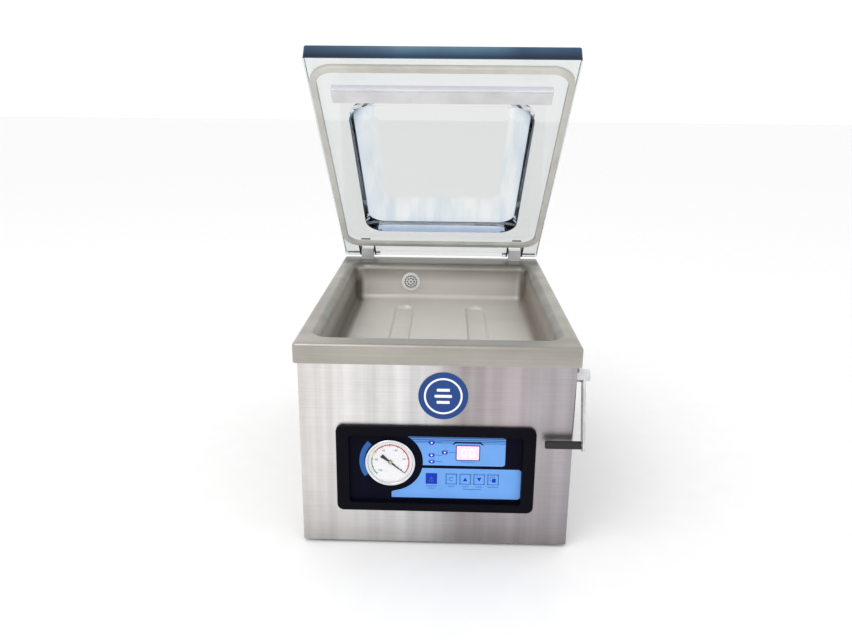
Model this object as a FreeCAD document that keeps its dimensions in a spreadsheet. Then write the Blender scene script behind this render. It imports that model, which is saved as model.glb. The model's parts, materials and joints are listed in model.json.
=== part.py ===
import FreeCAD, Part
import math
import os
import re
import Sketcher
from FreeCAD import Placement, Rotation, Vector

# Table-top chamber vacuum packing machine, modelled with its clear lid open.
# Frame: origin on the table at the middle of the footprint, +X to the operator's right,
# +Y to the rear, +Z up. All lengths are in millimetres, all angles in degrees.

DIMENSIONS = {
    # deck pan and cabinet
    "deck_width": 330.0, "deck_length": 480.0, "deck_top": 256.8, "skirt_height": 23.7,
    "sheet": 1.5, "deck_corner": 5.0, "deck_bend": 4.0, "cabinet_width": 320.0,
    "cabinet_length": 475.2, "cabinet_bottom": 4.0, "cabinet_corner": 3.0, "cabinet_gap": 2.8,
    "floor_sheet": 2.0, "vent_width": 7.0, "vent_front": -60.0, "vent_rear": 20.0, "vent_first_x": 80.0,
    "vent_pitch": 15.0,
    # chamber pressed into the deck
    "chamber_width": 280.0, "chamber_front": -207.0, "chamber_rear": 185.0,
    "chamber_depth": 59.0, "chamber_taper": 3.0, "chamber_corner": 14.0, "floor_bend": 9.0,
    "shoulder_bend": 11.0, "bead_offset": 56.0, "bead_width": 31.0, "bead_depth": 4.0, "bead_slope": 3.0,
    "bead_front": -120.0, "bead_rear": 138.0,
    # suction port in the chamber's rear wall
    "port_x": -49.0, "port_z": 227.4, "port_radius": 15.2, "port_hole": 1.5,
    "port_inner_ring": 5.5, "port_outer_ring": 9.6, "port_thick": 3.0, "port_step": 5.5,
    "fitting_rear": 25.0, "fitting_length": 27.4, "fitting_bore": 10.8, "spout_tall": 26.0,
    # feet
    "foot_radius": 14.0, "foot_x": 125.0, "foot_y": 200.0, "foot_screw": 2.0,
    "foot_screw_head": 4.0,
    # control panel on the cabinet's front
    "bezel_width": 234.0, "bezel_height": 109.8, "bezel_z": 102.8, "bezel_depth": 6.0,
    "bezel_corner": 8.0, "bezel_round": 2.2, "window_width": 204.0, "window_height": 87.4,
    "window_z": 102.7, "window_corner": 4.0, "panel_width": 212.0, "panel_height": 94.0,
    "panel_thick": 2.0, "key_width": 12.8, "key_height": 13.5, "key_gap": 0.2,
    "key_proud": 0.6, "key_thick": 2.0, "key_z": 89.6, "key_first_x": -4.6,
    "key_second_x": 19.1, "key_pitch": 16.5, "display_x": 38.0, "display_z": 123.8,
    "display_width": 26.0, "display_height": 17.3, "lamp_radius": 2.4, "lamp_proud": 0.8,
    "board_left": -22.0, "board_width": 122.0, "board_height": 74.0, "board_thick": 1.6,
    "board_gap": 4.0, "tact_size": 6.0, "tact_tall": 2.4, "spacer_radius": 2.5, "spacer_left": -18.0,
    "spacer_right": 96.0, "spacer_low": 66.0, "spacer_high": 132.0, "module_width": 24.0,
    "module_height": 16.0, "chip_x": 20.0, "chip_z": 96.0, "chip_size": 16.0, "chip_thick": 3.0,
    # vacuum gauge
    "gauge_x": -53.3, "gauge_z": 111.0, "gauge_rim": 29.6, "gauge_bore": 26.2,
    "gauge_case": 28.0, "gauge_case_depth": 30.0, "gauge_rim_depth": 5.4, "dial_thick": 0.6,
    "glass_thick": 1.0, "needle_length": 21.0, "needle_tail": 13.3, "needle_rest": -39.0,
    "needle_arbor": 0.8, "needle_hub": 2.5, "gauge_neck": 6.0, "gauge_neck_length": 12.0,
    "gauge_nut": 8.0, "gauge_nut_length": 9.0, "glass_depth": 3.9,
    # round badge
    "badge_z": 195.4, "badge_x": 7.9, "badge_radius": 28.7, "badge_thick": 1.0,
    # lid, in its own plane: length runs from the rear edge to the front edge
    "lid_width": 327.0, "lid_length": 465.0, "lid_thick": 19.8, "lid_corner": 3.0,
    "lid_open": 41.08, "hinge_y": 232.2, "hinge_z": 268.65, "hinge_inset": 5.0,
    "hinge_rise": 5.5, "dome_width": 240.0, "dome_near": 78.0, "dome_far": 382.0,
    "dome_height": 36.0, "dome_wall": 11.0, "dome_corner": 30.0, "dome_taper": 28.0,
    "notch_x": 124.5, "notch_width": 23.0, "notch_depth": 31.0,
    "gasket_half_width": 157.0, "gasket_near": 44.5, "gasket_far": 451.5, "gasket_wide": 8.0,
    "gasket_tall": 6.0, "gasket_corner": 26.0,
    "pad_length": 270.0, "pad_near": 398.0, "pad_far": 420.0, "pad_channel": 7.0,
    "pad_rubber": 3.0,
    # hinges
    "hinge_block": 20.0, "hinge_pin": 2.5, "hinge_fit": 0.05, "hinge_block_front": 217.5,
    "hinge_block_rear": 238.4, "hinge_block_top": 274.6, "hinge_pin_inner": 104.0,
    "hinge_pin_outer": 160.0,
    # seal bar, which two diaphragm cylinders lift towards the pad
    "seal_y": -171.8, "seal_top": 240.0, "seal_length": 262.0, "seal_wide": 14.0,
    "seal_tall": 27.0, "seal_tape": 0.6, "lift_pin_x": 95.0, "lift_pin": 4.0,
    "lift_fit": 0.05, "lift_sleeve": 9.0, "lift_can": 22.0, "lift_can_tall": 24.0,
    # press lever on the right side
    "lever_y": -222.4, "lever_z": 218.6, "lever_reach": 81.0, "lever_rest": 251.1,
    "lever_arm_x": 168.0, "lever_thick": 3.0, "lever_wide": 14.0, "lever_bolt": 4.0,
    "lever_boss": 8.5, "grip_radius": 4.75, "grip_start": 126.0, "rod_radius": 3.0,
    # pump set inside the cabinet
    "shaft_x": -50.0, "shaft_z": 88.0, "shaft_radius": 6.0, "shaft_fit": 0.05,
    "motor_radius": 50.0, "motor_wall": 4.0, "motor_front": -50.0, "motor_rear": 118.0,
    "pump_width": 116.0, "pump_front": 118.0, "pump_rear": 214.0, "pump_low": 28.0,
    "pump_high": 142.0, "stator_bore": 37.0, "rotor_radius": 31.0, "stator_drop": 5.5,
    "fan_radius": 40.0, "fan_front": -84.0, "fan_rear": -68.0, "cowl_front": -92.0,
    "hose_radius": 9.0, "hose_y": 206.0, "hose_wall": 2.5, "stub_wall": 2.0, "pump_lid": 11.0,
    "pump_corner": 12.0, "motor_end": 5.0, "winding_set_back": 22.0, "winding_bore": 28.0,
    "armature_radius": 27.2, "armature_set_back": 26.0, "cowl_room": 5.0, "cowl_wall": 1.5,
    "cowl_overlap": 8.0, "buffer_radius": 10.0, "saddle_width": 64.0, "saddle_length": 50.0,
    "saddle_tall": 44.0, "sight_z": 52.0, "sight_radius": 9.0, "filter_offset": 82.0, "filter_z": 126.0,
    "filter_radius": 21.0, "filter_length": 74.0, "filter_pipe": 7.0,
    # solenoid valves and transformer
    "valve_first_x": 68.0, "valve_second_x": 104.0, "valve_front": 142.0, "valve_size": 22.0,
    "valve_z": 112.0, "valve_coil": 26.0, "valve_coil_tall": 32.0, "valve_stub": 4.0,
    "core_left": 56.0, "core_front": -110.0, "core_width": 84.0, "core_length": 46.0, "core_leg": 14.0,
    "core_top": 68.0, "coil_width": 48.0, "coil_length": 76.0, "coil_tall": 46.0, "coil_low": 21.0,
    "coil_corner": 8.0,
    # rear panel fittings
    "inlet_x": 110.0, "inlet_z": 40.0, "inlet_width": 28.0, "inlet_height": 20.0,
    "fuse_x": 78.0, "switch_x": 110.0, "switch_z": 82.0, "switch_width": 13.0,
    "switch_height": 19.0, "louvre_length": 92.0, "louvre_rows": 9, "louvre_first": 92.0,
    "louvre_pitch": 11.0, "louvre_height": 4.5, "fuse_radius": 6.0, "sight_opening": 14.0,
    "rear_screw": 1.5, "rear_screw_x": 150.0, "rear_screw_low": 14.0, "rear_screw_high": 224.0,
    "plug_width": 23.0, "plug_height": 14.0, "inlet_depth": 24.0, "flange_thick": 2.0,
    "switch_depth": 18.0, "rocker_pivot": 1.3,
    # lengths of the tools that cut right through a sheet or a casting
    "cutter": 20.0, "long_cutter": 200.0,
}

document = FreeCAD.newDocument("vacuum_packer")
table = document.addObject("Spreadsheet::Sheet", "dims")
for row, (alias, number) in enumerate(DIMENSIONS.items(), start=1):
    table.set("A%d" % row, alias)
    table.set("B%d" % row, str(number))
    table.setAlias("B%d" % row, alias)
document.recompute()

UP = Rotation()
FRONT = Rotation(Vector(1, 0, 0), 90)                  # local Z points at the operator
REAR = Rotation(Vector(0, 0, 1), 180) * FRONT          # local Z points to the rear
RIGHT = Rotation(Vector(1, 1, 1), 120)                 # local Z points to the right
NODES = []


def size(alias):
    """The number in the sheet's cell of that name."""
    return float(table.get(alias))


def expression(text):
    """Turn names of cells into references to the sheet."""
    def refer(match):
        word = match.group(0)
        return "dims." + word if word in DIMENSIONS else word
    return re.sub(r"[A-Za-z_]+", refer, str(text))


def bind(thing, **sizes):
    for name, text in sizes.items():
        thing.setExpression(name, expression(text))
    return thing


def place(thing, at, turn=UP):
    """Put a piece at a point given as three expressions, with a fixed turn."""
    thing.Placement = Placement(Vector(), turn)
    for axis, text in zip("xyz", at):
        thing.setExpression("Placement.Base." + axis, expression(text))
    return thing


def box(name, at, length, width, height):
    piece = document.addObject("Part::Box", name)
    bind(piece, Length=length, Width=width, Height=height)
    return place(piece, at)


def cylinder(name, at, radius, height, turn=UP):
    piece = document.addObject("Part::Cylinder", name)
    bind(piece, Radius=radius, Height=height)
    return place(piece, at, turn)


def cone(name, at, low_radius, high_radius, height, turn=UP):
    piece = document.addObject("Part::Cone", name)
    bind(piece, Radius1=low_radius, Radius2=high_radius, Height=height)
    return place(piece, at, turn)


def fuse(name, pieces):
    whole = document.addObject("Part::MultiFuse", name)
    whole.Shapes = pieces
    return whole


def cut(name, base, tool):
    rest = document.addObject("Part::Cut", name)
    rest.Base = base
    rest.Tool = tool
    return rest


def made(name, shape, placement=None):
    """A piece whose shape is worked out here from the sheet's numbers."""
    piece = document.addObject("Part::Feature", name)
    piece.Shape = shape
    if placement:
        piece.Placement = placement
    return piece


def node(piece, label):
    """Name a finished piece, which is written to a file of that name."""
    piece.Label = label
    NODES.append(piece)
    return piece


def outline(body, name, left, front, right, back, height=0):
    """A rectangle on the body's own XY plane, each side bound to an expression."""
    sketch = body.newObject("Sketcher::SketchObject", name)
    plane = [p for p in body.Origin.OriginFeatures if p.Role == "XY_Plane"][0]
    sketch.AttachmentSupport = [(plane, "")]
    sketch.MapMode = "FlatFace"
    sketch.setExpression("AttachmentOffset.Base.z", expression(height))
    corners = [Vector(-10, -10, 0), Vector(10, -10, 0), Vector(10, 10, 0), Vector(-10, 10, 0)]
    sketch.addGeometry([Part.LineSegment(corners[i], corners[(i + 1) % 4]) for i in range(4)], False)
    joins = [Sketcher.Constraint("Coincident", i, 2, (i + 1) % 4, 1) for i in range(4)]
    sides = [Sketcher.Constraint(kind, i) for i, kind in
             enumerate(("Horizontal", "Vertical", "Horizontal", "Vertical"))]
    sketch.addConstraint(joins + sides)
    for label, kind, edge, end, start, text in (("left", "DistanceX", 0, 1, -10, left),
                                                ("front", "DistanceY", 0, 1, -10, front),
                                                ("right", "DistanceX", 1, 2, 10, right),
                                                ("back", "DistanceY", 1, 2, 10, back)):
        index = sketch.addConstraint(Sketcher.Constraint(kind, -1, 1, edge, end, start))
        sketch.renameConstraint(index, label)
        sketch.setExpression("Constraints." + label, expression(text))
    return sketch


def edges_of(feature, test):
    return ["Edge%d" % (i + 1) for i, edge in enumerate(feature.Shape.Edges) if test(edge)]


def rounded(body, name, base, test, radius):
    """Round the edges of a feature that pass a test."""
    document.recompute()
    fillet = body.newObject("PartDesign::Fillet", name)
    fillet.Base = (base, edges_of(base, test))
    fillet.setExpression("Radius", expression(radius))
    document.recompute()
    return fillet


def is_upright(edge):
    reach = edge.BoundBox
    return reach.XLength < 1e-6 and reach.YLength < 1e-6


def lies_at(height):
    def test(edge):
        reach = edge.BoundBox
        return abs(reach.ZMin - height) < 1e-4 and abs(reach.ZMax - height) < 1e-4
    return test


def block(name, left, front, right, back, height, corner=None, top_round=None,
          at=(0, 0, 0), turn=UP, taper=None):
    """A PartDesign pad of a rectangle, with rounded corners and a rounded top edge."""
    body = document.addObject("PartDesign::Body", name)
    pad = body.newObject("PartDesign::Pad", name + "_pad")
    pad.Profile = outline(body, name + "_outline", left, front, right, back)
    pad.setExpression("Length", expression(height))
    if taper:
        pad.setExpression("TaperAngle", expression(taper))
    document.recompute()
    last = pad
    tall = pad.Shape.BoundBox.ZMax
    if corner:
        last = rounded(body, name + "_corners", last,
                       lambda edge: edge.BoundBox.ZLength > tall * 0.9, corner)
    if top_round:
        last = rounded(body, name + "_top", last, lies_at(tall), top_round)
    return place(body, at, turn)


def slot(name, x, near, far, width, low, tall):
    """An upright plate with two round ends, running along Y."""
    middle = box(name + "_run", ("%s - (%s) / 2" % (x, width), "%s + (%s) / 2" % (near, width), low),
                 width, "(%s) - (%s) - (%s)" % (far, near, width), tall)
    ends = [cylinder(name + "_end%d" % i, (x, y, low), "(%s) / 2" % width, tall)
            for i, y in enumerate(("%s + (%s) / 2" % (near, width), "%s - (%s) / 2" % (far, width)))]
    return fuse(name, [middle] + ends)


# ---------------------------------------------------------------- deck pan with the chamber
def deck_block(name, inset, low):
    """The deck's outside, or with an inset of one sheet the space inside it."""
    body = document.addObject("PartDesign::Body", name)
    pad = body.newObject("PartDesign::Pad", name + "_pad")
    half_x = "deck_width / 2 - %s" % inset
    half_y = "deck_length / 2 - %s" % inset
    pad.Profile = outline(body, name + "_outline", "-(%s)" % half_x, "-(%s)" % half_y,
                          half_x, half_y, low)
    pad.setExpression("Length", expression("deck_top - %s - (%s)" % (inset, low)))
    last = rounded(body, name + "_corners", pad, is_upright, "deck_corner - %s" % inset)
    pocket = body.newObject("PartDesign::Pocket", name + "_chamber")
    pocket.Profile = outline(body, name + "_mouth", "-(chamber_width / 2 + %s)" % inset,
                             "chamber_front - %s" % inset, "chamber_width / 2 + %s" % inset,
                             "chamber_rear + %s" % inset, "deck_top - %s" % inset)
    pocket.setExpression("Length", expression("chamber_depth"))
    pocket.setExpression("TaperAngle", expression("-chamber_taper"))
    document.recompute()
    top = size("deck_top") - (size("sheet") if inset != "0" else 0)
    floor = top - size("chamber_depth")
    last = rounded(body, name + "_chamber_corners", pocket,
                   lambda edge: (edge.BoundBox.ZLength > size("chamber_depth") * 0.9
                                 and abs(edge.BoundBox.Center.x) < size("chamber_width") / 2 + 3
                                 and abs(edge.BoundBox.ZMax - top) < 1e-4
                                 and len(edge.Vertexes) == 2
                                 and not is_upright(edge)),
                   "chamber_corner + %s" % inset)
    last = rounded(body, name + "_floor_bend", last, lies_at(floor), "floor_bend + %s" % inset)

    def mouth(edge):
        return lies_at(top)(edge) and abs(edge.BoundBox.XMax) < size("chamber_width") / 2 + 3 \
            and abs(edge.BoundBox.XMin) < size("chamber_width") / 2 + 3

    def rim(edge):
        return lies_at(top)(edge) and not mouth(edge)

    last = rounded(body, name + "_shoulder", last, mouth, "shoulder_bend - %s" % inset)
    rounded(body, name + "_rim", last, rim, "deck_bend - %s" % inset)
    return body


def bead(name, centre, widen, low, high):
    """A slot with round ends whose walls slope outwards by the bead's slope from low to high."""
    rings = []
    for height, spread in ((low, 0.0), (high, size("bead_slope") * (high - low) / size("bead_depth"))):
        half = size("bead_width") / 2 - size("bead_slope") + widen + spread
        near = size("bead_front") + size("bead_width") / 2
        far = size("bead_rear") - size("bead_width") / 2
        corners = [Vector(centre - half, near, height), Vector(centre + half, near, height),
                   Vector(centre + half, far, height), Vector(centre - half, far, height)]
        rings.append(Part.Wire([
            Part.Arc(corners[0], Vector(centre, near - half, height), corners[1]).toShape(),
            Part.LineSegment(corners[1], corners[2]).toShape(),
            Part.Arc(corners[2], Vector(centre, far + half, height), corners[3]).toShape(),
            Part.LineSegment(corners[3], corners[0]).toShape()]))
    return made(name, Part.makeLoft(rings, True, True))


def deck_pan():
    outside = deck_block("deck_outside", "0", "deck_top - chamber_depth - 20")
    inside = deck_block("deck_inside", "sheet", "deck_top - chamber_depth - 40")
    below = box("below_skirt", ("-deck_width", "-deck_length", "0"), "deck_width * 2",
                "deck_length * 2", "deck_top - skirt_height")
    tub = box("tub_room", ("-chamber_width / 2 - sheet", "chamber_front - sheet", "0"),
              "chamber_width + sheet * 2", "chamber_rear - chamber_front + sheet * 2",
              "deck_top - skirt_height + 1")
    around = cut("around_tub", below, tub)
    shell = cut("deck_shell", cut("deck_skin", outside, inside), around)
    beads = []
    grooves = []
    floor = "(deck_top - chamber_depth)"
    level = size("deck_top") - size("chamber_depth")
    deep = size("bead_depth")
    thick = size("sheet")
    for side, centre in (("left", -size("bead_offset")), ("right", size("bead_offset"))):
        beads.append(bead(side + "_bead_skin", centre, thick, level - deep - thick, level - 0.5 * thick))
        grooves.append(bead(side + "_bead_groove", centre, 0.0, level - deep, level + 0.3))
    for side, sign in (("left", "-"), ("right", "")):
        grooves.append(cylinder(side + "_lift_hole", (sign + "lift_pin_x", "seal_y", floor + " - 20"),
                                "lift_sleeve + 0.1", "cutter * 2"))
    grooves.append(cylinder("port_opening", ("port_x", "chamber_rear + 20", "port_z"),
                            "port_radius - 3", "cutter * 2", FRONT))
    return cut("deck", fuse("deck_with_beads", [shell] + beads), fuse("deck_openings", grooves))


node(deck_pan(), "deck_pan")


# ---------------------------------------------------------------- cabinet
FRONT_FACE = "(-cabinet_length / 2)"
REAR_FACE = "(cabinet_length / 2)"


def cabinet():
    """One folded sheet: the front and both sides, open at the rear, top and bottom."""
    height = "deck_top - sheet - cabinet_gap - cabinet_bottom"
    outer = block("cabinet_outer", "-cabinet_width / 2", "-cabinet_length / 2", "cabinet_width / 2",
                  "cabinet_length / 2", height, corner="cabinet_corner", at=(0, 0, "cabinet_bottom"))
    inner = block("cabinet_inner", "-cabinet_width / 2 + sheet", "-cabinet_length / 2 + sheet",
                  "cabinet_width / 2 - sheet", "cabinet_length / 2 + 20", "deck_top",
                  corner="cabinet_corner - sheet")
    panel = box("panel_opening", ("-panel_width / 2 - 0.1", FRONT_FACE + " - 5",
                                  "window_z - panel_height / 2 - 0.1"), "panel_width + 0.2", "10",
                "panel_height + 0.2")
    bolt = cylinder("lever_bolt_opening", ("cabinet_width / 2 - 5", "lever_y", "lever_z"),
                    "lever_bolt + 0.05", "10", RIGHT)
    return cut("cabinet_sheet", outer, fuse("cabinet_openings", [inner, panel, bolt]))


node(cabinet(), "cabinet_wrap")


def base_plate():
    plate = box("base_sheet", ("-cabinet_width / 2 + sheet", "-cabinet_length / 2 + sheet",
                               "cabinet_bottom"),
                "cabinet_width - sheet * 2", "cabinet_length - sheet * 2", "floor_sheet")
    holes = [cylinder("base_hole%d" % i, (x, y, 0), "foot_screw + 0.1", "cutter")
             for i, (x, y) in enumerate(FOOT_PLACES)]
    vents = [slot("base_vent%d" % i, "vent_first_x + vent_pitch * %d" % i, "vent_front", "vent_rear",
                  "vent_width", "0", "cutter") for i in range(4)]
    return cut("base_plate", plate, fuse("base_openings", holes + vents))


FOOT_PLACES = [("-foot_x", "-foot_y"), ("foot_x", "-foot_y"), ("-foot_x", "foot_y"), ("foot_x", "foot_y")]
node(base_plate(), "base_plate")


def feet():
    """Four rubber buffers, each with a sunk hole for its screw."""
    buffers = []
    openings = []
    for i, (x, y) in enumerate(FOOT_PLACES):
        buffers.append(cone("buffer%d" % i, (x, y, 0), "foot_radius - 1.2", "foot_radius",
                            "cabinet_bottom"))
        openings.append(cylinder("buffer_hole%d" % i, (x, y, 0), "foot_screw + 0.1", "cutter"))
        openings.append(cylinder("buffer_sink%d" % i, (x, y, "-1"), "foot_screw_head + 0.3", "3.2"))
    return cut("feet", fuse("buffers", buffers), fuse("buffer_openings", openings))


node(feet(), "rubber_feet")


def foot_screws():
    screws = []
    for i, (x, y) in enumerate(FOOT_PLACES):
        screws.append(cylinder("foot_head%d" % i, (x, y, 0.8), "foot_screw_head", "1.4"))
        screws.append(cylinder("foot_shank%d" % i, (x, y, 1), "foot_screw", "11"))
    return screws


def rear_panel():
    """A flat cover between the sides, with rows of louvre slots and cut-outs for the mains parts."""
    plate = box("rear_sheet", ("-cabinet_width / 2 + sheet", REAR_FACE + " - sheet",
                               "cabinet_bottom + floor_sheet"), "cabinet_width - sheet * 2", "sheet",
                "deck_top - sheet - cabinet_gap - cabinet_bottom - floor_sheet")
    openings = [
        box("inlet_opening", ("inlet_x - inlet_width / 2", REAR_FACE + " - 10", "inlet_z - inlet_height / 2"),
            "inlet_width", "cutter", "inlet_height"),
        box("switch_opening", ("switch_x - switch_width / 2", REAR_FACE + " - 10",
                               "switch_z - switch_height / 2"), "switch_width", "cutter", "switch_height"),
        cylinder("fuse_opening", ("fuse_x", REAR_FACE + " + 10", "inlet_z"), "fuse_radius + 0.2", "cutter",
                 FRONT),
        cylinder("sight_hole", ("shaft_x", REAR_FACE + " + 10", "sight_z"), "sight_opening", "cutter",
                 FRONT),
    ]
    for rank in range(int(size("louvre_rows"))):
        openings.append(box("louvre%d" % rank, ("shaft_x - louvre_length / 2", REAR_FACE + " - 10",
                                                "louvre_first + louvre_pitch * %d" % rank),
                            "louvre_length", "cutter", "louvre_height"))
    screw_holes = [cylinder("rear_hole%d" % i, (x, REAR_FACE + " + 10", z), "rear_screw + 0.1", "cutter",
                             FRONT)
                   for i, (x, z) in enumerate(REAR_SCREWS)]
    return cut("rear_cover", plate, fuse("rear_openings", openings + screw_holes))


REAR_SCREWS = [(x, z) for x in ("-rear_screw_x", "0", "rear_screw_x")
               for z in ("rear_screw_low", "rear_screw_high")]
node(rear_panel(), "rear_panel")


def rear_screws():
    screws = []
    for i, (x, z) in enumerate(REAR_SCREWS):
        screws.append(cylinder("rear_shank%d" % i, (x, REAR_FACE + " + 0.2", z), "rear_screw", "9", FRONT))
        screws.append(cone("rear_head%d" % i, (x, REAR_FACE, z), "rear_screw * 2", "2.2", "1.6", REAR))
    return screws


node(fuse("screws", foot_screws() + rear_screws()), "cabinet_screws")


# ---------------------------------------------------------------- control panel
def bezel():
    frame = block("bezel_frame", "-bezel_width / 2", "-bezel_height / 2", "bezel_width / 2",
                  "bezel_height / 2", "bezel_depth", corner="bezel_corner", top_round="bezel_round",
                  at=(0, FRONT_FACE, "bezel_z"), turn=FRONT)
    window = block("bezel_window", "-window_width / 2", "-window_height / 2", "window_width / 2",
                   "window_height / 2", "bezel_depth * 3", corner="window_corner",
                   at=(0, FRONT_FACE + " + bezel_depth", "window_z"), turn=FRONT)
    return cut("bezel", frame, window)


node(bezel(), "panel_bezel")

KEY_PLACES = ["key_first_x"] + ["key_second_x + key_pitch * %d" % i for i in range(4)]


def control_panel():
    plate = box("panel_sheet", ("-panel_width / 2", FRONT_FACE, "window_z - panel_height / 2"),
                "panel_width", "panel_thick", "panel_height")
    openings = [cylinder("gauge_opening", ("gauge_x", FRONT_FACE + " + 10", "gauge_z"),
                         "gauge_case + 0.2", "cutter", FRONT)]
    for i, x in enumerate(KEY_PLACES):
        openings.append(box("key_opening%d" % i, (x + " - key_width / 2 - key_gap", FRONT_FACE + " - 5",
                                                  "key_z - key_height / 2 - key_gap"),
                            "key_width + key_gap * 2", "10", "key_height + key_gap * 2"))
    return cut("control_panel", plate, fuse("panel_openings", openings))


node(control_panel(), "control_panel")

KEY_NAMES = ["start_key", "set_key", "up_key", "down_key", "stop_key"]
for key_name, key_x in zip(KEY_NAMES, KEY_PLACES):
    node(block(key_name + "_cap", "-key_width / 2", "-key_height / 2", "key_width / 2", "key_height / 2",
               "key_thick", corner="1.6", top_round="0.25",
               at=(key_x, FRONT_FACE + " + key_thick - key_proud", "key_z"), turn=FRONT), key_name)

node(block("display_cap", "-display_width / 2", "-display_height / 2", "display_width / 2",
           "display_height / 2", "key_proud", corner="1", at=("display_x", FRONT_FACE, "display_z"),
           turn=FRONT), "display_window")

LAMP_PLACES = [("-4.7", "136.4"), ("-4.6", "120.3"), ("-4.5", "112.1"), ("10.8", "124.2")]
node(fuse("lamps", [cylinder("lamp%d" % i, (x, FRONT_FACE, z), "lamp_radius", "lamp_proud", FRONT)
                    for i, (x, z) in enumerate(LAMP_PLACES)]), "indicator_lamps")


def circuit_board():
    """Board behind the keys, with one tact switch behind each key and spacers to the panel."""
    back = "(" + FRONT_FACE + " + panel_thick + board_gap)"
    board = box("board_sheet", ("board_left", back, "window_z - board_height / 2 - 1"), "board_width",
                "board_thick", "board_height")
    parts = [board]
    for i, x in enumerate(KEY_PLACES):
        parts.append(box("tact%d" % i, (x + " - tact_size / 2", back + " - tact_tall + 0.2",
                                        "key_z - tact_size / 2"), "tact_size", "tact_tall", "tact_size"))
    corners = [(x, z) for x in ("spacer_left", "spacer_right") for z in ("spacer_low", "spacer_high")]
    for i, (x, z) in enumerate(corners):
        parts.append(cylinder("spacer%d" % i, (x, back + " + 0.1", z), "spacer_radius",
                              "board_gap + 0.1", FRONT))
    parts.append(box("display_module", ("display_x - module_width / 2", back + " - 3",
                                        "display_z - module_height / 2"),
                     "module_width", "3.1", "module_height"))
    parts.append(box("controller_chip", ("chip_x", back + " + board_thick - 0.1", "chip_z"), "chip_size",
                     "chip_thick", "chip_size"))
    return fuse("circuit_board", parts)


node(circuit_board(), "control_board")


# ---------------------------------------------------------------- vacuum gauge
def at_gauge(offset):
    return ("gauge_x", FRONT_FACE + offset, "gauge_z")


def gauge_case():
    """A cup with its threaded neck and union nut behind."""
    solids = [
        cylinder("gauge_can", at_gauge(" + gauge_case_depth"), "gauge_case", "gauge_case_depth", FRONT),
        cylinder("gauge_stem", at_gauge(" + gauge_case_depth + gauge_neck_length"), "gauge_neck",
                 "gauge_neck_length", FRONT),
        cylinder("gauge_hexagon", at_gauge(" + gauge_case_depth + gauge_neck_length + 8"), "gauge_nut",
                 "gauge_nut_length", FRONT)]
    room = cylinder("gauge_room", at_gauge(" + gauge_case_depth - 2"), "gauge_bore", "gauge_case_depth",
                    FRONT)
    return cut("gauge_cup", fuse("gauge_solids", solids), room)


node(gauge_case(), "gauge_case")


def gauge_rim():
    ring = cylinder("rim_ring", at_gauge(""), "gauge_rim", "gauge_rim_depth", FRONT)
    bore = cylinder("rim_bore", at_gauge(" + 5"), "gauge_bore", "cutter", FRONT)
    rim = cut("rim_cut", ring, bore)
    document.recompute()
    bevel = document.addObject("Part::Fillet", "rim_rounded")
    bevel.Base = rim
    front = size("cabinet_length") / -2 - size("gauge_rim_depth")
    bevel.Edges = [(i + 1, 1.3, 1.3) for i, edge in enumerate(rim.Shape.Edges)
                   if abs(edge.BoundBox.YMin - front) < 1e-4 and abs(edge.BoundBox.YMax - front) < 1e-4]
    return bevel


node(gauge_rim(), "gauge_rim")
node(cut("dial", cylinder("dial_disc", at_gauge(" - 1"), "gauge_bore - 0.05", "dial_thick", FRONT),
         cylinder("dial_hole", at_gauge(" + 10"), "needle_arbor + 0.05", "30", FRONT)), "gauge_dial")
node(cylinder("lens", at_gauge(" - glass_depth"), "gauge_bore - 0.02", "glass_thick", FRONT), "gauge_glass")


def needle():
    """A tapered pointer with a broad tail, turned to its resting angle about the arbor."""
    reach = size("needle_length")
    tail = size("needle_tail")
    points = [(reach, 0.25), (3, 1.0), (-3, 1.0), (-tail, 2.3), (-tail, -2.3), (-3, -1.0), (3, -1.0),
              (reach, -0.25)]
    wire = Part.makePolygon([Vector(x, y, 0) for x, y in points + points[:1]])
    pointer = Part.Face(wire).extrude(Vector(0, 0, 0.5))
    hub = Part.makeCylinder(size("needle_hub"), 1.1)
    arbor = Part.makeCylinder(size("needle_arbor"), 14, Vector(0, 0, -13.5))
    shape = pointer.fuse([hub, arbor]).removeSplitter()
    spin = FRONT * Rotation(Vector(0, 0, 1), size("needle_rest"))
    where = Vector(size("gauge_x"), -size("cabinet_length") / 2 - 2.3, size("gauge_z"))
    return made("needle", shape, Placement(where, spin))


node(needle(), "gauge_needle")

# ---------------------------------------------------------------- badge and suction port
node(cylinder("badge", ("badge_x", FRONT_FACE, "badge_z"), "badge_radius", "badge_thick", FRONT),
     "round_badge")


def port_grille():
    """A perforated disc with a centre hole and two rings of holes."""
    front = "chamber_rear - port_step"
    disc = cylinder("port_disc", ("port_x", front + " + port_thick", "port_z"), "port_radius", "port_thick",
                    FRONT)
    holes = [cylinder("port_centre", ("port_x", "chamber_rear + 10", "port_z"), "port_hole", "cutter * 2",
                      FRONT)]
    for ring, count in (("port_inner_ring", 8), ("port_outer_ring", 16)):
        for i in range(count):
            turn = "%g" % (360.0 * i / count)
            holes.append(cylinder("%s_hole%d" % (ring, i),
                                  ("port_x + %s * cos(%s deg)" % (ring, turn), "chamber_rear + 10",
                                   "port_z + %s * sin(%s deg)" % (ring, turn)),
                                  "port_hole", "cutter * 2", FRONT))
    return cut("port_grille", disc, fuse("port_holes", holes))


node(port_grille(), "port_grille")


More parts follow.
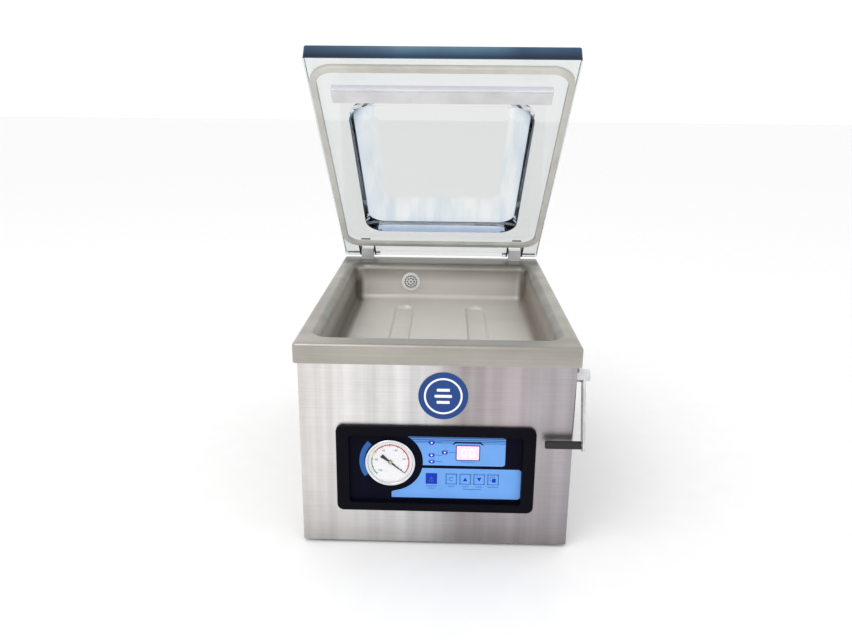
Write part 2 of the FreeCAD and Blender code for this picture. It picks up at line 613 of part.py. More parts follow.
def port_fitting():
    """The socket behind the chamber wall, with a spout that takes the hose."""
    body = fuse("port_body", [
        cylinder("port_socket", ("port_x", "chamber_rear + fitting_rear", "port_z"), "port_radius - 3.2",
                 "fitting_length", FRONT),
        cylinder("port_spout", ("port_x", "hose_y", "port_z - spout_tall"), "hose_radius - hose_wall",
                 "spout_tall")])
    room = fuse("port_bores", [
        cylinder("port_way", ("port_x", "chamber_rear + fitting_rear - 3", "port_z"), "fitting_bore",
                 "cutter * 2", FRONT),
        cylinder("spout_way", ("port_x", "hose_y", "port_z - spout_tall - 4"),
                 "hose_radius - hose_wall - stub_wall", "spout_tall + 6")])
    return cut("port_fitting", body, room)


node(port_fitting(), "port_fitting")


# ---------------------------------------------------------------- seal bar and its lifters
def seal_bar():
    bar = block("seal_extrusion", "-seal_length / 2", "-seal_wide / 2", "seal_length / 2", "seal_wide / 2",
                "seal_tall", corner="2", at=(0, "seal_y", "seal_top - seal_tape - seal_tall"))
    return bar


node(seal_bar(), "seal_bar")
node(box("tape_strip", ("-seal_length / 2 + 4", "seal_y - seal_wide / 2 + 1", "seal_top - seal_tape"),
         "seal_length - 8", "seal_wide - 2", "seal_tape * 0.5"), "heating_band")
node(box("tape_cover", ("-seal_length / 2 + 2", "seal_y - seal_wide / 2 + 0.5", "seal_top - seal_tape * 0.5"),
         "seal_length - 4", "seal_wide - 1", "seal_tape * 0.5"), "ptfe_tape")


def lift_pins():
    pins = []
    for i, x in enumerate(("-lift_pin_x", "lift_pin_x")):
        low = "deck_top - chamber_depth - 18"
        pins.append(cylinder("lift_pin%d" % i, (x, "seal_y", low), "lift_pin",
                             "seal_top - seal_tape - seal_tall - (%s)" % low))
    return fuse("lift_pins", pins)


node(lift_pins(), "seal_bar_pins")


def lift_cylinders():
    """A flanged sleeve through the chamber floor on top of each diaphragm can."""
    solids = []
    bores = []
    floor = "(deck_top - chamber_depth)"
    for i, x in enumerate(("-lift_pin_x", "lift_pin_x")):
        solids.append(cylinder("sleeve%d" % i, (x, "seal_y", floor + " - 6"), "lift_sleeve", "12"))
        solids.append(cylinder("can%d" % i, (x, "seal_y", floor + " - 6 - lift_can_tall"), "lift_can",
                               "lift_can_tall"))
        bores.append(cylinder("sleeve_bore%d" % i, (x, "seal_y", floor + " - 22"), "lift_pin + lift_fit",
                              "cutter * 2"))
    return cut("lift_cylinders", fuse("lift_solids", solids), fuse("lift_bores", bores))


node(lift_cylinders(), "lift_cylinders")


# ---------------------------------------------------------------- lid, built flat about the hinge line
# In the lid's own frame X is across, Y runs to the rear from the hinge line, Z is the lid's outer side.
LID_PLACE = Placement(Vector(0, size("hinge_y"), size("hinge_z")),
                      Rotation(Vector(1, 0, 0), -size("lid_open")))
UNDERSIDE = "(-hinge_rise)"


def on_lid(piece, label):
    """Swing a piece that was built flat up to the lid's open position."""
    document.recompute()
    return node(made(label + "_swung", piece.Shape.copy(), LID_PLACE.multiply(piece.Placement)), label)


def along(name):
    """Local Y of a distance measured from the lid's rear edge."""
    return "(hinge_inset - (%s))" % name


def lid_block(name, near, far, half, low, tall, **shape):
    return block(name, "-(%s)" % half, along(far), half, along(near), tall, at=(0, 0, low), **shape)


def rounded_outline(half, near, far, corner, height):
    """A closed wire: a rectangle across the lid with round corners."""
    low, high = size("hinge_inset") - far, size("hinge_inset") - near
    points = [Vector(-half, low, height), Vector(half, low, height), Vector(half, high, height),
              Vector(-half, high, height)]
    pieces = []
    for i, corner_point in enumerate(points):
        before = (points[i - 1] - corner_point).normalize()
        after = (points[(i + 1) % 4] - corner_point).normalize()
        start = corner_point + before * corner
        stop = corner_point + after * corner
        middle = corner_point + (before + after) * corner * (1 - math.sqrt(0.5))
        pieces.append(Part.Arc(start, middle, stop).toShape())
        next_point = points[(i + 1) % 4]
        pieces.append(Part.LineSegment(stop, next_point - after * corner).toShape())
    return Part.Wire(pieces)


def dome(name, low, high, brow):
    """A low truncated pyramid with round corners, narrowing at the dome's taper from its foot."""
    foot = -size("hinge_rise") + (size("lid_thick") if low > 0 else 0)
    slope = math.tan(math.radians(size("dome_taper")))
    rings = []
    for height in (low, high):
        pull = (height - foot) * slope
        rings.append(rounded_outline(size("dome_width") / 2 - pull, size("dome_near") + pull,
                                     size("dome_far") - pull, size("dome_corner") - pull * 0.3, height))
    shape = Part.makeLoft(rings, True, True)
    top = [edge for edge in shape.Edges if edge.BoundBox.ZMin > high - 1e-4]
    return made(name, shape.makeFillet(brow, top))


def lid_plate():
    plate = lid_block("lid_slab", "0", "lid_length", "lid_width / 2", UNDERSIDE, "lid_thick",
                      corner="lid_corner", top_round="1")
    outside = size("lid_thick") - size("hinge_rise")
    crown = dome("dome_crown", outside - 1, outside + size("dome_height"), 13)
    hollow = dome("dome_hollow", -size("hinge_rise") - 1,
                  outside + size("dome_height") - size("dome_wall"), 14)
    notches = []
    for i, x in enumerate(("-notch_x", "notch_x")):
        notches.append(box("notch%d" % i, (x + " - notch_width / 2", along("notch_depth"),
                                           UNDERSIDE + " - 5"),
                           "notch_width", "notch_depth + 10", "lid_thick + 10"))
        start = "hinge_pin_inner" if i else "-hinge_pin_outer"
        notches.append(cylinder("pin_bore%d" % i, (start, 0, 0), "hinge_pin",
                                "hinge_pin_outer - hinge_pin_inner", RIGHT))
    return cut("lid_body", fuse("lid_blank", [plate, crown]), fuse("lid_openings", [hollow] + notches))


on_lid(lid_plate(), "lid_plate")


def gasket():
    outer = lid_block("gasket_outer", "gasket_near - gasket_wide / 2", "gasket_far + gasket_wide / 2",
                      "gasket_half_width + gasket_wide / 2 - 1", UNDERSIDE + " - gasket_tall", "gasket_tall",
                      corner="gasket_corner + gasket_wide / 2")
    inner = lid_block("gasket_inner", "gasket_near + gasket_wide / 2", "gasket_far - gasket_wide / 2",
                      "gasket_half_width - gasket_wide / 2 - 1", UNDERSIDE + " - gasket_tall - 5",
                      "gasket_tall + 10", corner="gasket_corner - gasket_wide / 2")
    return cut("gasket", outer, inner)


on_lid(gasket(), "lid_gasket")
on_lid(lid_block("pad_bar", "pad_near", "pad_far", "pad_length / 2", UNDERSIDE + " - pad_channel",
                 "pad_channel"), "pad_holder")
on_lid(lid_block("pad_strip", "pad_near + 1", "pad_far - 1", "pad_length / 2",
                 UNDERSIDE + " - pad_channel - pad_rubber", "pad_rubber"), "silicone_pad")
on_lid(fuse("hinge_pins_pair", [
    cylinder("pin_at" + start, (start, 0, 0), "hinge_pin", "hinge_pin_outer - hinge_pin_inner", RIGHT)
    for start in ("-hinge_pin_outer", "hinge_pin_inner")]), "hinge_pins")


def hinge_blocks():
    """Two aluminium blocks on the deck's rear land, each with a bore for its pin."""
    blocks = []
    bores = []
    for i, x in enumerate(("-notch_x", "notch_x")):
        blocks.append(box("hinge_lug%d" % i, (x + " - hinge_block / 2", "hinge_block_front", "deck_top"),
                          "hinge_block", "hinge_block_rear - hinge_block_front",
                          "hinge_block_top - deck_top"))
        bores.append(cylinder("lug_bore%d" % i, (x + " - 30", "hinge_y", "hinge_z"), "hinge_pin + hinge_fit",
                              "60", RIGHT))
    return cut("hinge_blocks", fuse("hinge_lugs", blocks), fuse("lug_bores", bores))


node(hinge_blocks(), "hinge_blocks")


# ---------------------------------------------------------------- press lever on the right side
def lever_point(reach, turn):
    """Y and Z of a point at that reach from the lever's pivot."""
    angle = math.radians(turn)
    return Vector(0, size("lever_y") + reach * math.cos(angle), size("lever_z") + reach * math.sin(angle))


def lever_arm():
    """A flat bar with round ends and a hole for the bolt, with the grip's rod riveted into it."""
    reach = size("lever_reach")
    half = size("lever_wide") / 2
    thick = size("lever_thick")
    bar = Part.makeBox(reach, 2 * half, thick, Vector(0, -half, 0))
    ends = [Part.makeCylinder(half, thick), Part.makeCylinder(half, thick, Vector(reach, 0, 0))]
    hole = Part.makeCylinder(size("lever_bolt") + 0.05, thick)
    rod_length = size("lever_arm_x") - size("grip_start") - 4
    rod = Part.makeCylinder(size("rod_radius"), rod_length + thick, Vector(reach, 0, -rod_length))
    shape = bar.fuse(ends).cut(hole).fuse(rod).removeSplitter()
    turn = RIGHT * Rotation(Vector(0, 0, 1), size("lever_rest"))
    return made("arm", shape, Placement(Vector(size("lever_arm_x"), size("lever_y"), size("lever_z")), turn))


node(lever_arm(), "lever_arm")


def grip_axis(x):
    point = lever_point(size("lever_reach"), size("lever_rest"))
    return Placement(Vector(x, point.y, point.z), RIGHT)


def grip():
    """A moulded sleeve closed at its inner end, with rounded rims."""
    length = size("lever_arm_x") - size("grip_start") - 0.5
    radius = size("grip_radius")
    sleeve = Part.makeCylinder(radius, length)
    rims = [edge for edge in sleeve.Edges if abs(edge.BoundBox.ZLength) < 1e-6]
    sleeve = sleeve.makeFillet(1.5, rims)
    sleeve = sleeve.cut(Part.makeCylinder(size("rod_radius"), length, Vector(0, 0, 4)))
    return made("sleeve", sleeve, grip_axis(size("grip_start")))


node(grip(), "lever_grip")
SIDE_FACE = "(cabinet_width / 2)"
node(cut("boss", cylinder("boss_body", (SIDE_FACE, "lever_y", "lever_z"), "lever_boss",
                          "lever_arm_x - cabinet_width / 2 - 0.2", RIGHT),
         cylinder("boss_bore", (SIDE_FACE + " - 5", "lever_y", "lever_z"), "lever_bolt + 0.02", "cutter",
                  RIGHT)),
     "lever_boss")


def lever_bolt():
    """A shouldered bolt: hexagon head outside the arm, shank through the cabinet, nut inside."""
    start = size("cabinet_width") / 2 - 14
    arm_face = size("lever_arm_x") + size("lever_thick") + 0.2
    across = 7.0
    head = Part.Face(Part.makePolygon([Vector(across * math.cos(math.radians(60 * i)),
                                              across * math.sin(math.radians(60 * i)), 0)
                                       for i in range(7)])).extrude(Vector(0, 0, 5))
    head.translate(Vector(0, 0, arm_face - start))
    shank = Part.makeCylinder(size("lever_bolt"), arm_face - start + 1)
    shape = shank.fuse(head).removeSplitter()
    bolt = made("bolt", shape, Placement(Vector(start, size("lever_y"), size("lever_z")), RIGHT))
    nut = cylinder("lever_nut", (SIDE_FACE + " - sheet - 6.2", "lever_y", "lever_z"), "8", "6", RIGHT)
    return fuse("bolt_with_nut", [bolt, nut])


node(lever_bolt(), "lever_bolt")


# ---------------------------------------------------------------- vacuum pump and its motor
def on_shaft(y):
    return ("shaft_x", y, "shaft_z")


def pump_body():
    """A cast block bored for the stator, with a cover wall at the motor side."""
    cast = block("pump_cast", "-pump_width / 2", "-(pump_high - pump_low) / 2", "pump_width / 2",
                 "(pump_high - pump_low) / 2", "pump_rear - pump_front", corner="pump_corner",
                 at=("shaft_x", "pump_rear", "(pump_high + pump_low) / 2"), turn=FRONT)
    stator = cylinder("stator_room", ("shaft_x", "pump_rear - pump_lid + 1", "shaft_z - stator_drop"),
                      "stator_bore", "pump_rear - pump_front - pump_lid * 2", FRONT)
    bore = cylinder("pump_shaft_bore", on_shaft("pump_rear - 4"), "shaft_radius + shaft_fit",
                    "long_cutter", FRONT)
    stub = cylinder("pump_stub", ("port_x", "hose_y", "pump_high - 5"), "hose_radius - hose_wall", "27")
    inlet = cylinder("pump_inlet_bore", ("port_x", "hose_y", "pump_high - 10"),
                     "hose_radius - hose_wall - stub_wall", "cutter * 4")
    oil = cylinder("oil_window_bore", ("shaft_x", "pump_rear + 10", "sight_z"), "sight_radius", "14",
                   FRONT)
    return cut("pump_block", fuse("pump_solids", [cast, stub]),
               fuse("pump_rooms", [stator, bore, inlet, oil]))


node(pump_body(), "pump_body")


def rotor():
    """Slotted drum on the shaft; its slots hold the vanes."""
    drum = cylinder("rotor_drum", on_shaft("pump_rear - pump_lid"), "rotor_radius",
                    "pump_rear - pump_front - pump_lid * 2 - 2", FRONT)
    openings = [cylinder("rotor_bore", on_shaft("pump_rear"), "shaft_radius", "long_cutter", FRONT)]
    for i in range(3):
        vane_slot = Part.makeBox(14, 200, 3, Vector(18, 0, -1.5))
        turn = Rotation(Vector(0, 1, 0), 120 * i + 90)
        where = Vector(size("shaft_x"), size("pump_front") - 20, size("shaft_z"))
        openings.append(made("vane_slot%d" % i, vane_slot, Placement(where, turn)))
    return cut("rotor_cut", drum, fuse("rotor_openings", openings))


node(rotor(), "pump_rotor")
node(cylinder("shaft", on_shaft("pump_rear - 6"), "shaft_radius", "pump_rear - 6 - (fan_front - 2)", FRONT),
     "motor_shaft")


def motor_shell():
    """A finned tube with end walls; the shaft passes through both."""
    tube = cylinder("motor_tube", on_shaft("motor_rear"), "motor_radius", "motor_rear - motor_front", FRONT)
    room = cylinder("motor_room", on_shaft("motor_rear - motor_end"), "motor_radius - motor_wall",
                    "motor_rear - motor_front - motor_end * 2", FRONT)
    bore = cylinder("motor_bore", on_shaft("motor_rear + 10"), "shaft_radius + shaft_fit",
                    "long_cutter", FRONT)
    ribs = []
    for i in range(18):
        rib = Part.makeBox(6, size("motor_rear") - size("motor_front") - 20, 2,
                           Vector(size("motor_radius") - 2, 0, -1))
        where = Vector(size("shaft_x"), size("motor_front") + 10, size("shaft_z"))
        ribs.append(made("rib%d" % i, rib, Placement(where, Rotation(Vector(0, 1, 0), 20 * i))))
    return cut("motor_body", fuse("motor_solids", [tube] + ribs), fuse("motor_rooms", [room, bore]))


node(motor_shell(), "motor_housing")
node(cut("winding", cylinder("winding_ring", on_shaft("motor_rear - winding_set_back"),
                             "motor_radius - motor_wall - 0.1",
                             "motor_rear - motor_front - winding_set_back * 2", FRONT),
         cylinder("winding_hole", on_shaft("motor_rear"), "winding_bore", "long_cutter", FRONT)),
     "motor_stator")
node(cut("armature", cylinder("armature_drum", on_shaft("motor_rear - armature_set_back"),
                              "armature_radius",
                              "motor_rear - motor_front - armature_set_back * 2", FRONT),
         cylinder("armature_bore", on_shaft("motor_rear"), "shaft_radius", "long_cutter", FRONT)),
     "motor_armature")


def fan():
    """A hub with seven pitched blades."""
    thick = size("fan_rear") - size("fan_front")
    hub = Part.makeCylinder(13, thick)
    blades = []
    for i in range(7):
        blade = Part.makeBox(size("fan_radius") - 11, 1.6, thick + 4, Vector(11, -0.8, -thick / 2 - 2))
        blade.rotate(Vector(0, 0, 0), Vector(1, 0, 0), 38)
        blade.translate(Vector(0, 0, thick / 2))
        blade.rotate(Vector(0, 0, 0), Vector(0, 0, 1), 360.0 / 7 * i)
        blades.append(blade)
    shape = hub.fuse(blades).removeSplitter()
    shape = shape.common(Part.makeCylinder(size("fan_radius"), thick)).cut(Part.makeCylinder(
        size("shaft_radius"), thick + 10, Vector(0, 0, -5)))
    where = Vector(size("shaft_x"), size("fan_rear"), size("shaft_z"))
    return made("fan_wheel", shape, Placement(where, FRONT))


node(fan(), "cooling_fan")


def fan_cowl():
    length = "motor_front + cowl_overlap - cowl_front"
    ring = cylinder("cowl_tube", on_shaft("motor_front + cowl_overlap"),
                    "motor_radius + cowl_room + cowl_wall", length, FRONT)
    room = cylinder("cowl_hollow", on_shaft("motor_front + cowl_overlap + 2"), "motor_radius + cowl_room",
                    length, FRONT)
    openings = [room]
    for i in range(-3, 4):
        half = 44 - 4 * abs(i)
        openings.append(box("cowl_slot%d" % (i + 3), ("shaft_x - %d" % half, "cowl_front - 5",
                                                      "shaft_z - 2.5 + %d" % (11 * i)),
                            "%d" % (2 * half), "cutter", "5"))
    return cut("cowl", ring, fuse("cowl_openings", openings))


node(fan_cowl(), "fan_cowl")


def pump_mounts():
    """Rubber buffers between the pump set and the base plate."""
    buffers = []
    corners = [(x, y) for x in ("shaft_x - 40", "shaft_x + 40")
               for y in ("pump_front + 16", "pump_rear - 14")]
    for i, (x, y) in enumerate(corners):
        buffers.append(cylinder("pump_buffer%d" % i, (x, y, "cabinet_bottom + floor_sheet"),
                                "buffer_radius", "pump_low - cabinet_bottom - floor_sheet"))
    return fuse("pump_buffers", buffers)


node(pump_mounts(), "pump_mounts")


def motor_foot():
    """A saddle under the motor, cut to its round shell."""
    saddle = box("saddle_block", ("shaft_x - saddle_width / 2", "-20", "cabinet_bottom + floor_sheet"),
                 "saddle_width", "saddle_length", "saddle_tall")
    shell = cylinder("saddle_cut", on_shaft("long_cutter"), "motor_radius + 4.2", "long_cutter * 2",
                     FRONT)
    return cut("saddle", saddle, shell)


node(motor_foot(), "motor_saddle")
node(cylinder("sight_pane", ("shaft_x", "pump_rear + 1.2", "sight_z"), "sight_radius - 0.1", "5",
              FRONT), "oil_sight_glass")
node(fuse("filter_solids", [
    cylinder("filter_can", ("shaft_x + filter_offset", "pump_rear - 2", "filter_z"), "filter_radius",
             "filter_length", FRONT),
    cylinder("filter_stub", ("shaft_x + pump_width / 2", "pump_rear - 30", "filter_z"), "filter_pipe",
             "filter_pipe * 2", RIGHT)]), "exhaust_filter")


def vacuum_hose():
    """A rubber hose from the chamber's spout down to the pump's inlet stub."""
    low = "pump_high + 8"
    hose = cylinder("hose_tube", ("port_x", "hose_y", low), "hose_radius", "port_z - 20 - (%s)" % low)
    bore = cylinder("hose_bore", ("port_x", "hose_y", low + " - 5"), "hose_radius - hose_wall",
                    "long_cutter")
    return cut("hose", hose, bore)


node(vacuum_hose(), "vacuum_hose")


def valve(name, x):
    """A solenoid valve: brass body, square coil and a hose stub each side."""
    return fuse(name, [
        box(name + "_body", (x + " - valve_size / 2", "valve_front", "valve_z"), "valve_size",
            "valve_size + 4", "valve_size"),
        box(name + "_winding", (x + " - valve_coil / 2", "valve_front - 2", "valve_z + valve_size"),
            "valve_coil", "valve_coil + 4", "valve_coil_tall"),
        cylinder(name + "_pipe", (x, "valve_front - 22", "valve_z + valve_size / 2"), "valve_stub",
                 "70", REAR)])


node(fuse("valve_pair", [valve("suction_valve", "valve_first_x"), valve("air_valve", "valve_second_x")]),
     "solenoid_valves")
node(box("valve_shelf", ("valve_first_x - 18", "valve_front - 4", "cabinet_bottom + floor_sheet"),
         "valve_second_x - valve_first_x + 38", "valve_size + 12",
         "valve_z - cabinet_bottom - floor_sheet"), "valve_bracket")


def transformer_core():
    """A closed frame of laminations: two bars joined by two legs."""
    bars = [box("core_bar%d" % i, ("core_left", "core_front", z), "core_width", "core_length", "core_leg")
            for i, z in enumerate(("core_top", "cabinet_bottom + floor_sheet"))]
    legs = [box("core_leg%d" % i, (x, "core_front", 10), "core_leg", "core_length", "core_top - 4")
            for i, x in enumerate(("core_left", "core_left + core_width - core_leg"))]
    return fuse("transformer_core_solids", bars + legs)


node(transformer_core(), "transformer_core")
node(block("coil_form", "-coil_width / 2", "-coil_length / 2", "coil_width / 2", "coil_length / 2",
           "coil_tall", corner="coil_corner",
           at=("core_left + core_width / 2", "core_front + core_length / 2", "coil_low")), "transformer_coil")

# ---------------------------------------------------------------- mains fittings in the rear panel
def mains_inlet():
    """A flanged shroud with three contact blades inside."""
    body = box("inlet_body", ("inlet_x - inlet_width / 2 + 0.1", REAR_FACE + " - inlet_depth",
                              "inlet_z - inlet_height / 2 + 0.1"),
               "inlet_width - 0.2", "inlet_depth", "inlet_height - 0.2")
    plate = box("inlet_plate", ("inlet_x - inlet_width / 2 - 6", REAR_FACE, "inlet_z - inlet_height / 2 - 3"),
                "inlet_width + 12", "flange_thick", "inlet_height + 6")
    room = box("inlet_room", ("inlet_x - plug_width / 2", REAR_FACE + " - inlet_depth + 6",
                              "inlet_z - plug_height / 2"), "plug_width", "cutter * 2", "plug_height")
    blades = [box("inlet_blade%d" % i, ("inlet_x - 1 + %d" % x, REAR_FACE + " - inlet_depth + 5",
                                        "inlet_z + %d" % z), "2", "13", "4")
              for i, (x, z) in enumerate(((0, 1), (-7, -4), (7, -4)))]
    return fuse("inlet_solids", [cut("inlet_shroud", fuse("inlet_shell", [body, plate]), room)] + blades)


node(mains_inlet(), "mains_inlet")
node(fuse("fuse_solids", [
    cylinder("fuse_body", ("fuse_x", REAR_FACE + " - 26", "inlet_z"), "fuse_radius", "28", REAR),
    cylinder("fuse_cap", ("fuse_x", REAR_FACE, "inlet_z"), "fuse_radius + 2.5", "5", REAR)]), "fuse_holder")


def switch_housing():
    """A flanged box with a bore each side for the rocker's pivots."""
    body = box("switch_body", ("switch_x - switch_width / 2 + 0.1", REAR_FACE + " - switch_depth",
                               "switch_z - switch_height / 2 + 0.1"),
               "switch_width - 0.2", "switch_depth", "switch_height - 0.2")
    flange = box("switch_flange", ("switch_x - switch_width / 2 - 2", REAR_FACE,
                                   "switch_z - switch_height / 2 - 2.5"),
                 "switch_width + 4", "flange_thick", "switch_height + 5")
    room = box("switch_room", ("switch_x - 5.3", REAR_FACE + " - switch_depth / 2", "switch_z - 8.6"),
               "10.6", "cutter * 2", "17.2")
    bore = cylinder("switch_bore", ("switch_x - 6.3", REAR_FACE + " - 1", "switch_z"),
                    "rocker_pivot + 0.05", "12.6", RIGHT)
    return cut("switch_frame", fuse("switch_solids", [body, flange]), fuse("switch_rooms", [room, bore]))


node(switch_housing(), "switch_housing")


def rocker():
    """A shallow vee-topped rocker with two short pivots, its upper half standing out."""
    half = 7.6
    outline_points = [(0.6, -half), (2.6, 0), (3.6, half), (-2.0, half - 1.2), (-4.2, 0), (-2.0, 1.2 - half)]
    wire = Part.makePolygon([Vector(0, y, z) for y, z in outline_points + outline_points[:1]])
    cap = Part.Face(wire).extrude(Vector(9.8, 0, 0))
    pivot = Part.makeCylinder(size("rocker_pivot"), 12.4, Vector(-1.3, -1.0, 0), Vector(1, 0, 0))
    where = Vector(size("switch_x") - 4.9, size("cabinet_length") / 2, size("switch_z"))
    return made("rocker_shape", cap.fuse(pivot).removeSplitter(), Placement(where, Rotation()))


node(rocker(), "power_rocker")


# ---------------------------------------------------------------- check, then write
document.recompute()
for thing in document.Objects:
    bad = [word for word in thing.State if word in ("Invalid", "Error")]
    if bad:
        raise RuntimeError("%s failed: %s" % (thing.Label, bad))
for piece in NODES:
    if piece.Shape.isNull() or not piece.Shape.isValid() or not piece.Shape.Solids:
        raise RuntimeError("%s has no valid solid" % piece.Label)

os.makedirs("parts", exist_ok=True)
for piece in NODES:
    piece.Shape.exportStep(os.path.join("parts", piece.Label + ".step"))
print("%d pieces written" % len(NODES))
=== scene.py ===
import json
import math

import bmesh
import bpy
from mathutils import Matrix, Vector


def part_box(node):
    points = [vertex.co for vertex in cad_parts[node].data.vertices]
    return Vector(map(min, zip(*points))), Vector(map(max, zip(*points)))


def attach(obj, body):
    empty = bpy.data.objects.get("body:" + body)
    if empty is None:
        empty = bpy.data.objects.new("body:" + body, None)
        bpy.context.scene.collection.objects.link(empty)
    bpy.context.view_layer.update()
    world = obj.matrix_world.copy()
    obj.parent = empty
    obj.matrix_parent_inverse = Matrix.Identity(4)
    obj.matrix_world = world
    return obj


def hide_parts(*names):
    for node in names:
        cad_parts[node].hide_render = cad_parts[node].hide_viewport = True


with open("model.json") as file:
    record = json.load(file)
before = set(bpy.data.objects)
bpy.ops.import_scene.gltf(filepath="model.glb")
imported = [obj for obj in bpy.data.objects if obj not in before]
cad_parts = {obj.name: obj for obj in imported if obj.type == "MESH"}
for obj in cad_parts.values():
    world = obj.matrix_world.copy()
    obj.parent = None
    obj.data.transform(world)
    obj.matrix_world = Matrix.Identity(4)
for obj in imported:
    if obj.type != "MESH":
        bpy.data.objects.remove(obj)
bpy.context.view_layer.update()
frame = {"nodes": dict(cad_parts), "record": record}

SHADE = {}                                      # every finish by its name
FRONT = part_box("cabinet_wrap")[0][1]            # the cabinet's front face
CABINET_HALF = 0.160                            # half the cabinet's width
DECK_HALF = 0.165                               # half the deck's width, and the lid's
JOINTS = {joint["name"]: joint for joint in frame["record"]["behaviour"]["joints"]}
HINGE = Vector(JOINTS["lid_hinge"]["pos_m"])
OPEN = math.radians(JOINTS["lid_hinge"]["range_deg"][1])
LID_FORWARD = Vector((0.0, -math.cos(OPEN), math.sin(OPEN)))    # from the hinge to the lid's front edge
LID_OUT = Vector((0.0, math.sin(OPEN), math.cos(OPEN)))         # out of the lid's upper side
LID_UNDER, LID_TOP, DOME_TOP = -0.0055, 0.0143, 0.0455          # heights along LID_OUT from the hinge line
WHITE = (1.0, 1.0, 1.0)
BLACK = (0.0, 0.0, 0.0)


# ---------------------------------------------------------------- materials
class Nodes:
    """A short way to write a material's node graph."""

    def __init__(self, name):
        self.material = bpy.data.materials.new(name)
        self.material.use_nodes = True
        self.tree = self.material.node_tree
        self.shader = self.tree.nodes["Principled BSDF"]
        self.place = self.tree.nodes.new("ShaderNodeTexCoord").outputs["Object"]

    def add(self, kind, **settings):
        made = self.tree.nodes.new(kind)
        for key, value in settings.items():
            setattr(made, key, value)
        return made

    def link(self, source, target):
        self.tree.links.new(source, target)

    def noise(self, scale, detail=4.0, rough=0.5, offset=0.0):
        """Noise whose grain is scaled along each axis, as grains per metre."""
        mapping = self.add("ShaderNodeMapping")
        mapping.inputs["Scale"].default_value = scale
        mapping.inputs["Location"].default_value = (offset, offset * 0.7, offset * 1.3)
        self.link(self.place, mapping.inputs["Vector"])
        texture = self.add("ShaderNodeTexNoise")
        texture.inputs["Scale"].default_value = 1.0
        texture.inputs["Detail"].default_value = detail
        texture.inputs["Roughness"].default_value = rough
        self.link(mapping.outputs["Vector"], texture.inputs["Vector"])
        return texture.outputs["Fac"]

    def ramp(self, source, stops):
        """A colour ramp; stops are (position, colour) pairs."""
        ramp = self.add("ShaderNodeValToRGB")
        elements = ramp.color_ramp.elements
        while len(elements) < len(stops):
            elements.new(0.5)
        for element, (position, colour) in zip(elements, stops):
            element.position = position
            element.color = (*colour, 1.0)
        self.link(source, ramp.inputs["Fac"])
        return ramp.outputs["Color"]

    def spread(self, source, low, high, start=0.25, stop=0.75):
        """Map a value to a range."""
        ranged = self.add("ShaderNodeMapRange")
        for key, value in (("From Min", start), ("From Max", stop), ("To Min", low), ("To Max", high)):
            ranged.inputs[key].default_value = value
        self.link(source, ranged.inputs["Value"])
        return ranged.outputs["Result"]

    def mix(self, first, second, factor, blend="MIX"):
        mixed = self.add("ShaderNodeMix", data_type="RGBA", blend_type=blend)
        plugs = {"Factor": mixed.inputs[0], "A": mixed.inputs[6], "B": mixed.inputs[7]}
        for key, value in (("Factor", factor), ("A", first), ("B", second)):
            if hasattr(value, "is_output"):
                self.link(value, plugs[key])
            elif key == "Factor":
                plugs[key].default_value = value
            else:
                plugs[key].default_value = (*value, 1.0)
        return mixed.outputs[2]

    def bump(self, source, strength, distance):
        bump = self.add("ShaderNodeBump")
        bump.inputs["Strength"].default_value = strength
        bump.inputs["Distance"].default_value = distance
        self.link(source, bump.inputs["Height"])
        self.link(bump.outputs["Normal"], self.shader.inputs["Normal"])

    def set(self, **values):
        for key, value in values.items():
            socket = self.shader.inputs[key.replace("_", " ")]
            if hasattr(value, "is_output"):
                self.link(value, socket)
            else:
                colour = isinstance(value, tuple) and len(value) == 3
                socket.default_value = (*value, 1.0) if colour else value


def shaded(colour, factor):
    return tuple(min(1.0, channel * factor) for channel in colour)


def brushed(name, light, dark, grain, streak, rough=(0.26, 0.42), bump=0.10, tone=None):
    """Brushed sheet metal: fine lines along the grain, soft broad streaks, faint smudges."""
    look = Nodes(name)
    lines = look.noise(grain, detail=3.0, rough=0.6)
    streaks = look.noise(streak, detail=3.0, rough=0.5, offset=3.1)
    smudge = look.noise((14, 14, 14), detail=6.0, rough=0.65, offset=7.7)
    broad = look.ramp(streaks, ((0.32, dark), (0.68, light)))
    fine = look.ramp(lines, ((0.30, (0.80, 0.80, 0.80)), (0.70, WHITE)))
    colour = look.mix(broad, fine, 0.75, "MULTIPLY")
    marks = look.ramp(smudge, ((0.36, (0.84, 0.83, 0.82)), (0.62, WHITE)))
    worn = look.mix(colour, marks, 0.55, "MULTIPLY")
    look.set(Metallic=1.0, Roughness=look.spread(lines, *rough))
    # A tone, where given, multiplies painted light and shade into the colour.
    look.set(Base_Color=tone(look, worn) if tone else worn)
    look.bump(lines, bump, 0.0004)
    return look.material


def cabinet_painted_reflection(look, colour):
    """Painted reflection on the sheet: a lighter, warmer grey on the left and a cooler, darker one on the
    right, with painted shade low down.
    """
    # the painted shade low on the sheet fades out by this height
    painted_shade_height = 0.24
    split = look.add("ShaderNodeSeparateXYZ")
    look.link(look.place, split.inputs[0])
    across = look.spread(split.outputs["X"], 0.0, 1.0, -CABINET_HALF, CABINET_HALF)
    # painted reflection: light and warm on the left, dark and cool on the right
    side = look.ramp(across, ((0.0, (0.92, 0.90, 0.88)), (0.10, (1.0, 0.99, 0.97)),
                              (0.44, (0.95, 0.95, 0.96)), (0.60, (0.50, 0.46, 0.47)),
                              (0.78, (0.60, 0.55, 0.58)), (1.0, (0.56, 0.53, 0.56))))
    # painted shade towards the bottom of the sheet
    up = look.spread(split.outputs["Z"], 0.0, 1.0, 0.0, painted_shade_height)
    rise = look.ramp(up, ((0.0, (0.52, 0.51, 0.50)), (0.13, (0.80, 0.80, 0.80)), (0.35, WHITE)))
    return look.mix(look.mix(colour, side, 1.0, "MULTIPLY"), rise, 0.75, "MULTIPLY")


